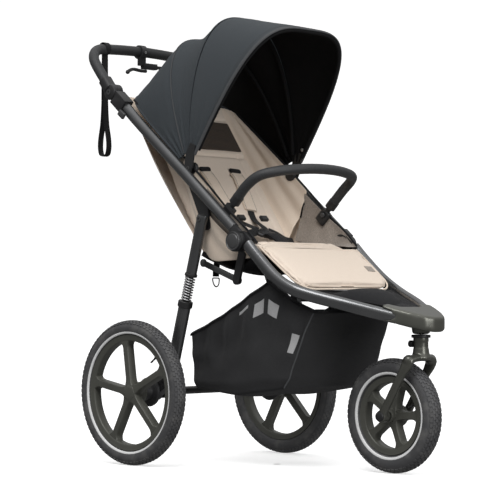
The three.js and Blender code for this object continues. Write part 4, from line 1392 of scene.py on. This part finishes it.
pressed(back, [
    (lambda p, n: abs(p.x) - 112 if backFace(n) and p.z < 880 else 99, 3.8, 5),
    (lambda p, n: p.z - 872 if backFace(n) else 99, 4.5, 5),
    (lambda p, n: p.z - 700 if backFace(n) and abs(p.x) < 112 else 99, 2.8, 5),
    (lambda p, n: p.z - 985 if backFace(n) else 99, 3.0, 5),
    (lambda p, n: math.hypot(max(abs(abs(p.x) - 60) - 20, 0), p.z - 816) if backFace(n) else 99, 6.0, 6),
])
settle(back, "seat_back", "backrest")
tuple(at(0, 128, 716))
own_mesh(back)


def backPoint(x, z, lift=0.0):
    # a point on the backrest's front, by height
    (y0, z0), (y1, z1), (y2, z2) = backInner
    y = mix(y0, y1, (z - z0) / (z1 - z0)) if z < z1 else mix(y1, y2, (z - z1) / (z2 - z1))
    return at(x, y - lift * 0.82, z + lift * 0.57)


def lineLength(line):
    return sum((b - a).length for a, b in zip(line, line[1:]))


def sheetPiece(name, grid, thickness, finish, body, stands=(), squash=None, levels=1):
    mesh = gridMesh(name, grid, closed=False, angle=180)
    cut = (max(lineLength(row) for row in grid), max(lineLength(column) for column in zip(*grid)))
    obj = looseObject(name, mesh, finish)
    solidified(obj, thickness, 0, levels)
    settle(obj, body, stands)
    if squash:
        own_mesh(obj)
    return obj


upperSquash = ("fold_hinge", (0, -0.64, 0.768), tuple(at(0, 128, 730)), 0.3)
meshGrid = []
for i in range(15):  # the knitted air panel behind the head
    z = mix(884, 972, i / 14)
    meshGrid.append([backPoint(x * 132, z, 7.5 + 1.5 * math.sin(i * 1.4 + 3 * x) * (1 - x * x))
                     for x in [k / 14 - 1 for k in range(29)]])
air = sheetPiece("airPanel", meshGrid, 1.6, "brownMesh", "seat_back")
tuple(at(0, 128, 716))
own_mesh(air)
for sign, word in ((-1, "Right"), (1, "Left")):
    # a black webbing strip lies in each harness slot: partly the strap that runs through it, partly painted shade
    # inside the slot
    slot = sweepMesh(f"strapSlot{word}", smoothPath([backPoint(sign * 38, 824, 8), backPoint(sign * 84, 822, 8)], 16),
                     roundedEnds((3.5, 8), 46, 8), 16, side=(0, 0.82, -0.57))
    slotPiece = newPiece(f"strapSlot{word}", slot, "webbing", "seat_back")
    tuple(at(0, 128, 716))
    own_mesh(slotPiece)

skinGrid = []
for i in range(33):  # the loose outer skin of the backrest, full in its middle
    share = i / 32
    y = mix(128, 448, share)
    z = mix(580, 1040, share)
    bulge = 46 * math.sin(math.pi * share) ** 0.8
    row = []
    for k in range(41):
        across = k / 20 - 1
        edge = 1 - abs(across) ** 6
        fold = 3.0 * math.sin(across * 9 + share * 5) * edge * math.sin(math.pi * share)
        pull = 5.0 * noise.noise(Vector((across * 3, share * 4, 4.0))) * edge
        depth = (bulge * (0.25 + 0.75 * edge)) + fold + pull
        row.append(at(across * mix(180, 184, share), y + depth * 0.82, z - depth * 0.57))
    skinGrid.append(row)
skin = sheetPiece("backSkin", skinGrid, 2.0, "beigeCloth", "seat_back")
tuple(at(0, 128, 716))
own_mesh(skin)


def sideLine(points, steps):
    return smoothPath([at(*point) for point in points], steps)


for word, sign, suffix in sideWords:
    # the pleated wing between the backrest and the tube, then the knitted panel beside the child
    tubeLine = sideLine([(sign * 201, 96, 770), (sign * 201, 196, 856), (sign * 200, 296, 939),
                         (sign * 198, 396, 1022)], 40)
    foldLine = sideLine([(sign * 150, 128, 622), (sign * 147, 202, 722), (sign * 146, 306, 868),
                         (sign * 146, 412, 1030)], 40)
    grid = []
    for i in range(41):
        row = []
        for k in range(25):
            share = k / 24
            pleat = math.sin(share * 15 + i * 0.05) * 4.2 * math.sin(math.pi * share) * (1 - 0.4 * i / 40)
            sag = 10 * math.sin(math.pi * share)
            point = mix(tubeLine[i], foldLine[i], share)
            row.append(point + Vector((sign * (sag + pleat), 0.3 * pleat, -0.2 * pleat)) / 1000)
        grid.append(row)
    sheetPiece(f"sideWing{word}", grid, 2.0, "beigeCloth", "upper_frame", f"side_panel_{suffix}", upperSquash)

    front = sideLine([(sign * 200, -92, 604), (sign * 200, -52, 644), (sign * 200, 16, 694),
                      (sign * 199, 104, 765)], 34)
    rear = sideLine([(sign * 176, -84, 604), (sign * 177, 0, 610), (sign * 176, 80, 618),
                     (sign * 172, 118, 626)], 34)
    grid = []
    for i in range(35):
        row = []
        for k in range(17):
            share = k / 16
            sag = 7 * math.sin(math.pi * share) + 1.6 * math.sin(i * 0.55 + share * 4) * math.sin(math.pi * share)
            row.append(mix(front[i], rear[i], share) + Vector((sign * sag, 0, 0)) / 1000)
        grid.append(row)
    sheetPiece(f"sideMesh{word}", grid, 1.8, "mesh", "upper_frame", (), upperSquash)
    # the outside of the seat below the tube
    top = sideLine([(sign * 201, -52, 588), (sign * 202, 30, 640), (sign * 202, 110, 706),
                    (sign * 200, 190, 800)], 30)
    low = sideLine([(sign * 186, -52, 568), (sign * 188, 30, 562), (sign * 188, 96, 566),
                    (sign * 184, 160, 640)], 30)
    grid = []
    for i in range(31):
        row = []
        for k in range(17):
            share = k / 16
            crease = 3.0 * math.sin(i * 0.5 + share * 6) * math.sin(math.pi * share)
            row.append(mix(top[i], low[i], share) + Vector((sign * crease, 0, 0)) / 1000)
        grid.append(row)
    sheetPiece(f"outerSide{word}", grid, 2.0, "beigeCloth", "upper_frame", (), upperSquash)
    piping = sideLine([(sign * 202, -92, 608), (sign * 202, -52, 646), (sign * 203, 16, 700), (sign * 203, 96, 773),
                       (sign * 203, 196, 859), (sign * 202, 296, 942), (sign * 200, 396, 1025)], 90)
    newPiece(f"seatPiping{word}", sweepMesh(f"seatPiping{word}", piping, (3, 3), 14), "black", "upper_frame")

slingGrid = []
for i in range(25):  # the black cloth under the seat
    share = i / 24
    y = mix(-70, 108, share)
    sag = 52 * math.sin(math.pi * min(max(share, 0), 1)) ** 0.7
    row = []
    for k in range(33):
        across = k / 16 - 1
        drop = sag * (1 - 0.35 * abs(across) ** 4) + 2.5 * math.sin(across * 8 + share * 7)
        row.append(at(across * 186, y, 577 - drop))
    slingGrid.append(row)
sling = sheetPiece("seatSling", slingGrid, 2.4, "black", "upper_frame", "seat_sling")
tuple(at(0, -20, 606))
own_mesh(sling)
print("seat made")


harness = {"strapWidth": 24, "padWidth": 44, "thick": 2.2, "buckle": (0, 72, 642),
           "buckleArms": (35, 145, 200, 340, 270)}
seatSquash = ("fold_hinge", (0, -0.64, 0.768), tuple(at(0, 60, 640)), 0.3)


def strapPiece(name, points, width, thick, finish, body, side=(1, 0, 0), squash=seatSquash, square=6, steps=40):
    path = smoothPath(points, steps)
    mesh = sweepMesh(name, path, (width / 2, thick / 2), 16, side=side, square=square)
    piece = newPiece(name, mesh, finish, body)
    if squash:
        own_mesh(piece)
    return piece


for word, sign, suffix in sideWords:
    high = [backPoint(sign * 61, 815, 5), backPoint(sign * 59, 795, 9), backPoint(sign * 52, 750, 9),
            backPoint(sign * 44, 705, 9)]
    strapPiece(f"shoulderPad{word}", high, harness["padWidth"], 9, "beigeCloth", "seat_back",
               squash=("fold_hinge", (0, -0.64, 0.768), tuple(at(0, 128, 716)), 0.25), square=3.4)
    for edge in (-1, 1):
        line = [point + Vector((edge * 19.5, -4.2 * 0.82, 4.2 * 0.57)) / 1000 for point in smoothPath(high, 30)]
        stitch(f"padStitch{word}{'A' if edge < 0 else 'B'}", line, darkStitches, "seat_back", 0.005,
               0.0005)
    low = [backPoint(sign * 46, 712, 6), backPoint(sign * 38, 680, 9), at(sign * 26, 104, 662),
           at(sign * 15, 84, 654)]
    strapPiece(f"shoulderStrap{word}", low, harness["strapWidth"], harness["thick"], "webbing", "upper_frame")
    waist = [at(sign * 160, 110, 622), at(sign * 112, 92, 625), at(sign * 62, 78, 638), at(sign * 22, 74, 648)]
    strapPiece(f"waistStrap{word}", waist, harness["strapWidth"], harness["thick"], "webbing", "upper_frame",
               side=(0, 0.5, 0.86))
crotch = [at(0, -2, 609), at(0, 14, 618), at(0, 36, 630), at(0, 56, 640)]
strapPiece("crotchStrap", crotch, 30, 2.6, "webbing", "upper_frame")
crotchPad = [at(0, 0, 611), at(0, 20, 625), at(0, 44, 638)]
strapPiece("crotchPad", crotchPad, 44, 8, "black", "upper_frame", square=3.4, steps=24)

bx, by, bz = harness["buckle"]
buckleParts = []
tilt = Vector((0, -0.45, 0.89))  # the way the buckle faces
upSlope = Vector((0, 0.89, 0.45))


def tilted(profile):
    return turnedMesh("buckle", profile, at(bx, by, bz), tilt, 48)


buckleParts.append(tilted([(0.01, 9), (12, 9), (17, 7.5), (19, 4), (19, -6), (17, -8), (0.01, -8)]))
buckleParts.append(tilted([(0.01, 11.5), (7, 11.5), (9.5, 10.5), (10.5, 8), (0.01, 8)]))
for turn in harness["buckleArms"]:
    angle = math.radians(turn)
    way = Vector((1, 0, 0)) * math.cos(angle) + upSlope * math.sin(angle)
    start = at(bx, by, bz) + way * 0.012
    arm = smoothPath([start, start + way * 0.024], 12)
    buckleParts.append(sweepMesh("arm", arm, roundedEnds((11, 5.5), 24, 5), 20, side=tuple(way.cross(tilt)),
                                 square=4))
newPiece("harnessBuckle", joinMeshes("harnessBuckle", buckleParts), "plastic", "upper_frame", "harness_buckle")
for word, sign, suffix in sideWords:
    adjuster = plateMesh(f"strapAdjuster{word}", [(118, 676), (128, 690), (122, 696), (110, 682)], sign * 32,
                         sign * 60, 2)
    newPiece(f"strapAdjuster{word}", adjuster, "plastic", "upper_frame")
print("harness made")


calf = {"top": (-96, 603), "foot": (-244, 488), "topHalf": 196, "footHalf": 186, "corner": 50}
calfDown = Vector((0, calf["foot"][0] - calf["top"][0], calf["foot"][1] - calf["top"][1])).normalized()
calfOut = Vector((0, calfDown.z, -calfDown.y))
calfLength = math.hypot(calf["foot"][0] - calf["top"][0], calf["foot"][1] - calf["top"][1])


def calfHalf(share):
    # straight at the top, then a rounded lower corner
    wide = mix(calf["topHalf"], calf["footHalf"], share ** 1.5)
    left = (1 - share) * calfLength / calf["corner"]
    return wide - calf["corner"] * (1 - math.sqrt(max(1 - max(1 - left, 0) ** 2, 0)))


def calfPoint(across, share, lift):
    bow = 5 * (1 - across ** 2) * math.sin(math.pi * share * 0.9)
    y, z = calf["top"]
    return at(across * calfHalf(share), y, z) + (calfDown * calfLength * share + calfOut * (lift + bow)) / 1000


calfRows = []
for i in range(31):
    share = i / 30
    ring = []
    for k in range(25):
        ring.append(calfPoint(k / 12 - 1, share, 0))
    ring += [point - calfOut * 0.014 for point in reversed(ring)]
    calfRows.append(ring)
calfPad = puffed("calfPad", gridMesh("calfPad", calfRows, wrap=True, caps=True), "beige", 2.5, 6, 0.005)


def calfShare(p):
    y, z = calf["top"]
    return ((p.y - y) * calfDown.y + (p.z - z) * calfDown.z) / calfLength


pressed(calfPad, [
    (lambda p, n: (calfShare(p) - 0.1) * calfLength if n.dot(calfOut) > 0.2 else 99, 4.2, 4),
    (lambda p, n: abs(p.x) - calfHalf(min(max(calfShare(p), 0), 1)) + 12 if n.dot(calfOut) > 0.2 else 99, 2.4, 3.5),
    (lambda p, n: (1 - calfShare(p)) * calfLength - 11 if n.dot(calfOut) > 0.2 else 99, 2.4, 3.5),
])
settle(calfPad, "lower_frame", "calf_pad")
edgeLine = [calfPoint(-1, 0.02 + i / 60 * 0.97, -6) for i in range(61)]
edgeLine += [calfPoint(k / 30 - 1, 1.0, -6) for k in range(1, 60)]
edgeLine += [calfPoint(1, 0.99 - i / 60 * 0.97, -6) for i in range(61)]
newPiece("calfPiping", sweepMesh("calfPiping", evenPath(edgeLine, 190), (2.6, 2.6), 12), "beigeCloth",
         "lower_frame")
patch = []
for i in range(7):  # a plain sewn patch that lies on the pad
    row = []
    for k in range(7):
        near = calfPad.closest_point_on_mesh(calfPoint(0.7 + 0.16 * k / 6, 0.52 + 0.12 * i / 6, 8))
        row.append(near[1] + near[2] * 0.0007)
    patch.append(row)
sheetPiece("calfPatch", patch, 1.2, "mesh", "lower_frame", levels=0)

footSlope = 0.22
footGrid = []
for i in range(31):  # black cloth from the calf pad to the hub, sunk between the tubes
    share = i / 30
    y = mix(-212, -436, share)
    half = mix(192, 66, smoothStep(0.0, 1.0, share) * 0.45 + share * 0.55)
    row = []
    for k in range(33):
        across = k / 16 - 1
        sink = 11 * (1 - across ** 2) * math.sin(math.pi * min(share * 1.15, 1))
        crease = 1.5 * math.sin(across * 10 + share * 4) * math.sin(math.pi * share)
        z = 474 + footSlope * (y + 246) - sink + crease + 5 * abs(across) ** 4
        row.append(at(across * half, y, z))
    footGrid.append(row)
sheetPiece("footrestCloth", footGrid, 2.4, "black", "lower_frame", "footrest_panel")
lipGrid = []
for i in range(17):  # the raised lip that the feet rest against
    share = i / 16
    row = []
    for k in range(33):
        across = k / 16 - 1
        y = -262 - 118 * share * (1 - 0.22 * across ** 2)
        arch = 34 * math.sin(math.pi * share) ** 0.7 * (1 - abs(across) ** 3)
        row.append(at(across * mix(150, 96, share), y, 466 + footSlope * (y + 246) + arch))
    lipGrid.append(row)
sheetPiece("footrestHump", lipGrid, 2.2, "black", "lower_frame")
print("calf pad and footrest made")


strapPiece("reclineStrap", [at(-130, 128, 578), at(-130, 131, 560), at(-130, 135, 538), at(-130, 136, 520)], 24, 2.6,
           "webbing", "upper_frame", squash=None)
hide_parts("recline_strap")
ringShape = []
for k in range(49):
    turn = math.pi * k / 48
    ringShape.append(at(-130 - 13 * math.cos(turn), 136 - 2 * math.sin(turn), 514 - 22 * math.sin(turn)))
ringShape += [at(-130 + 13 - 26 * k / 12, 136, 516) for k in range(1, 12)]
newPiece("strapRing", sweepMesh("strapRing", ringShape, (1.9, 1.9), 12, side=(0, 1, 0), loop=True), "steel",
         "upper_frame", "strap_ring")
guide = [at(-200, 118, 583), at(-176, 112, 571), at(-140, 108, 560), at(-96, 100, 556)]
strapPiece("guideStrap", guide, 14, 2.4, "webbing", "upper_frame", side=(0, 0, 1), squash=None)


basket = {"rearTop": (165, 360), "rearFoot": (158, 214), "midFoot": (0, 201), "frontFoot": (-175, 221),
          "frontTop": (-258, 424), "peak": (-121, 503), "rearHalf": 198, "frontHalf": 150, "narrowFrom": -60,
          "narrowTo": -300, "columns": 150, "rows": 30,
          "patches": ((0.58, 0.665, 0.13, 0.28), (0.69, 0.76, 0.14, 0.27), (0.912, 0.944, 0.33, 0.56),
                      (0.45, 0.53, 0.09, 0.12))}  # each by its span along and down the side


def basketHalf(y):
    if y > basket["narrowFrom"]:
        return basket["rearHalf"]
    share = (basket["narrowFrom"] - y) / (basket["narrowFrom"] - basket["narrowTo"])
    return mix(basket["rearHalf"], basket["frontHalf"], min(share, 1))


def basketFoot(y):
    (y0, z0), (y1, z1), (y2, z2) = basket["rearFoot"], basket["midFoot"], basket["frontFoot"]
    base = mix(z1, z0, (y - y1) / (y0 - y1)) if y > y1 else mix(z1, z2, (y - y1) / (y2 - y1))
    return base - 3 * math.cos(y / 90)


def basketTop(y):
    # the rim: up from the rear wall to the peak, then down to the front wall
    (y0, z0), (y1, z1), (y2, z2) = basket["rearTop"], basket["peak"], basket["frontTop"]
    if y > y1:
        share = (y0 - y) / (y0 - y1)
        return mix(z0, z1, share) - 10 * math.sin(math.pi * share)
    share = (y1 - y) / (y1 - y2)
    return mix(z1, z2, share) - 8 * math.sin(math.pi * share)


def basketWay(u):
    # round the plan from the middle of the rear wall, along one side, across the front and back
    side = 1 if u < 0.5 else -1
    v = u * 2 if u < 0.5 else (1 - u) * 2
    rearPart, sidePart = 0.22, 0.80
    if v < rearPart:
        return side, v / rearPart, "rear"
    if v < sidePart:
        return side, (v - rearPart) / (sidePart - rearPart), "side"
    return side, (v - sidePart) / (1 - sidePart), "front"


def basketPoint(u, depth):
    side, share, wall = basketWay(u)
    (ry, rz), (fy, fz) = basket["rearTop"], basket["frontTop"]
    rearY = mix(basket["rearTop"][0], basket["rearFoot"][0], depth)
    frontY = mix(basket["frontTop"][0], basket["frontFoot"][0], depth ** 0.9)
    if wall == "rear":
        x, y, edge = basket["rearHalf"] * share ** 0.9, rearY, 1 - share
        top, foot = rz, basketFoot(150)
        out = Vector((0, 1, 0))
    elif wall == "side":
        y = mix(rearY, frontY, share)
        x = basketHalf(y)
        top, foot = basketTop(mix(ry, fy, share)), basketFoot(max(min(y, 158), -175))
        edge = math.sin(math.pi * share)
        out = Vector((1, 0, 0))
    else:
        y = frontY
        x = basketHalf(y) * (1 - share) ** 0.9
        top, foot = fz, basketFoot(-170)
        edge = share
        out = Vector((0, -1, 0))
    z = mix(top, foot, depth)
    inward = 9 * math.sin(math.pi * depth) * (0.3 + 0.7 * edge) if wall != "side" else 4 * math.sin(math.pi * depth)
    toward = (ry - y) / (ry - fy)
    fan = math.sin((toward - 0.66) * 38 + depth * 3) * smoothStep(1.0, 0.1, depth) if wall == "side" else 0
    crinkle = noise.noise(Vector((toward * 7 + side, depth * 3.5, 2.0 if wall == "side" else 6.0)))
    push = -inward + 5.5 * fan * math.sin(math.pi * min(depth * 1.4 + 0.1, 1))
    push += 8 * crinkle * math.sin(math.pi * depth)
    push -= 10 * smoothStep(0.86, 1.0, depth)  # the foot is rounded
    point = Vector((x, y, z)) + out * push
    return at(side * point.x, point.y, point.z)


columns, rows = basket["columns"], basket["rows"]
walls = [[basketPoint(i / columns, j / rows) for i in range(columns)] for j in range(rows + 1)]
floorCentre = at(0, -8, 197)
bottomRing = walls[-1]
for j in range(1, 13):
    share = j / 13
    walls.append([mix(point, Vector((floorCentre.x, floorCentre.y, floorCentre.z + 0.004 * (1 - share))),
                      share) + Vector((0, 0, -0.006 * math.sin(math.pi * share))) for point in bottomRing])
shell = gridMesh("basketShell", walls, wrap=True, closed=False, angle=180)


def onPatch(u, depth):
    # where a silver patch is sewn on the side
    side, share, wall = basketWay(u)
    return wall == "side" and any(rear < share < front and top < depth < foot
                                  for rear, front, top, foot in basket["patches"])


shell.materials.append(finishes["basket"])
shell.materials.append(finishes["silver"])
kinds = []
for j in range(len(walls) - 1):
    for i in range(columns):
        kinds.append(1 if j < rows and onPatch((i + 0.5) / columns, (j + 0.5) / rows) else 0)
shell.polygons.foreach_set("material_index", kinds[:len(shell.polygons)])
basketShell = looseObject("basketShell", shell)
solidified(basketShell, 2.0, 0, 1)
settle(basketShell, "lower_frame", "basket")
basketSquash = ("fold_hinge", (0, 0.79, -0.61), tuple(at(0, -258, 424)), 0.3)  # the fold hinge's name, a direction, the point at the basket's front rim and a share
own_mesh(basketShell)
rimLine = [basketPoint(i / 240, 0.0) + Vector((0, 0, 0.001)) for i in range(240)]
basketRim = newPiece("basketRim", sweepMesh("basketRim", rimLine, (2.4, 6.0), 12, side=(0, 1, 0), loop=True,
                                            square=3), "black", "lower_frame")
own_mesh(basketRim)
for word, sign, suffix in sideWords:
    u = 0.5 * 0.80 if sign > 0 else 1 - 0.5 * 0.80
    seam = [basketPoint(u, d / 40) + Vector((-sign * 0.0016, 0.0014, 0)) for d in range(41)]
    piping = newPiece(f"basketSeam{word}", sweepMesh(f"basketSeam{word}", seam, (2.0, 2.0), 10), "binding",
                      "lower_frame")
    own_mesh(piping)
    for tag, y, topZ, peakX in (("Peak", -121, 546, 209), ("Front", -206, 490, 200), ("Mid", -168, 514, 206)):
        start = at(sign * (basketHalf(y) - 1), y, basketTop(y) - 6)
        hook = at(sign * peakX, y, topZ)
        strapPiece(f"basketStrap{tag}{word}", [start, mix(start, hook, 0.5), hook], 16, 2.4, "webbing",
                   "lower_frame", side=(0, 1, 0), squash=None, steps=12)
        screws(f"basketSnap{tag}{word}", [at(sign * (peakX + 1.5), y, topZ - 12)], (float(sign), 0.0, 0.0),
               "lower_frame", 0.005, 0.003, blackScrewHeads)
print("basket made")

sizes = {"cad": [list(corner) for corner in cadBox], "visual": [list(corner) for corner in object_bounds()]}
print("cad box", sizes["cad"], "visual box", sizes["visual"])
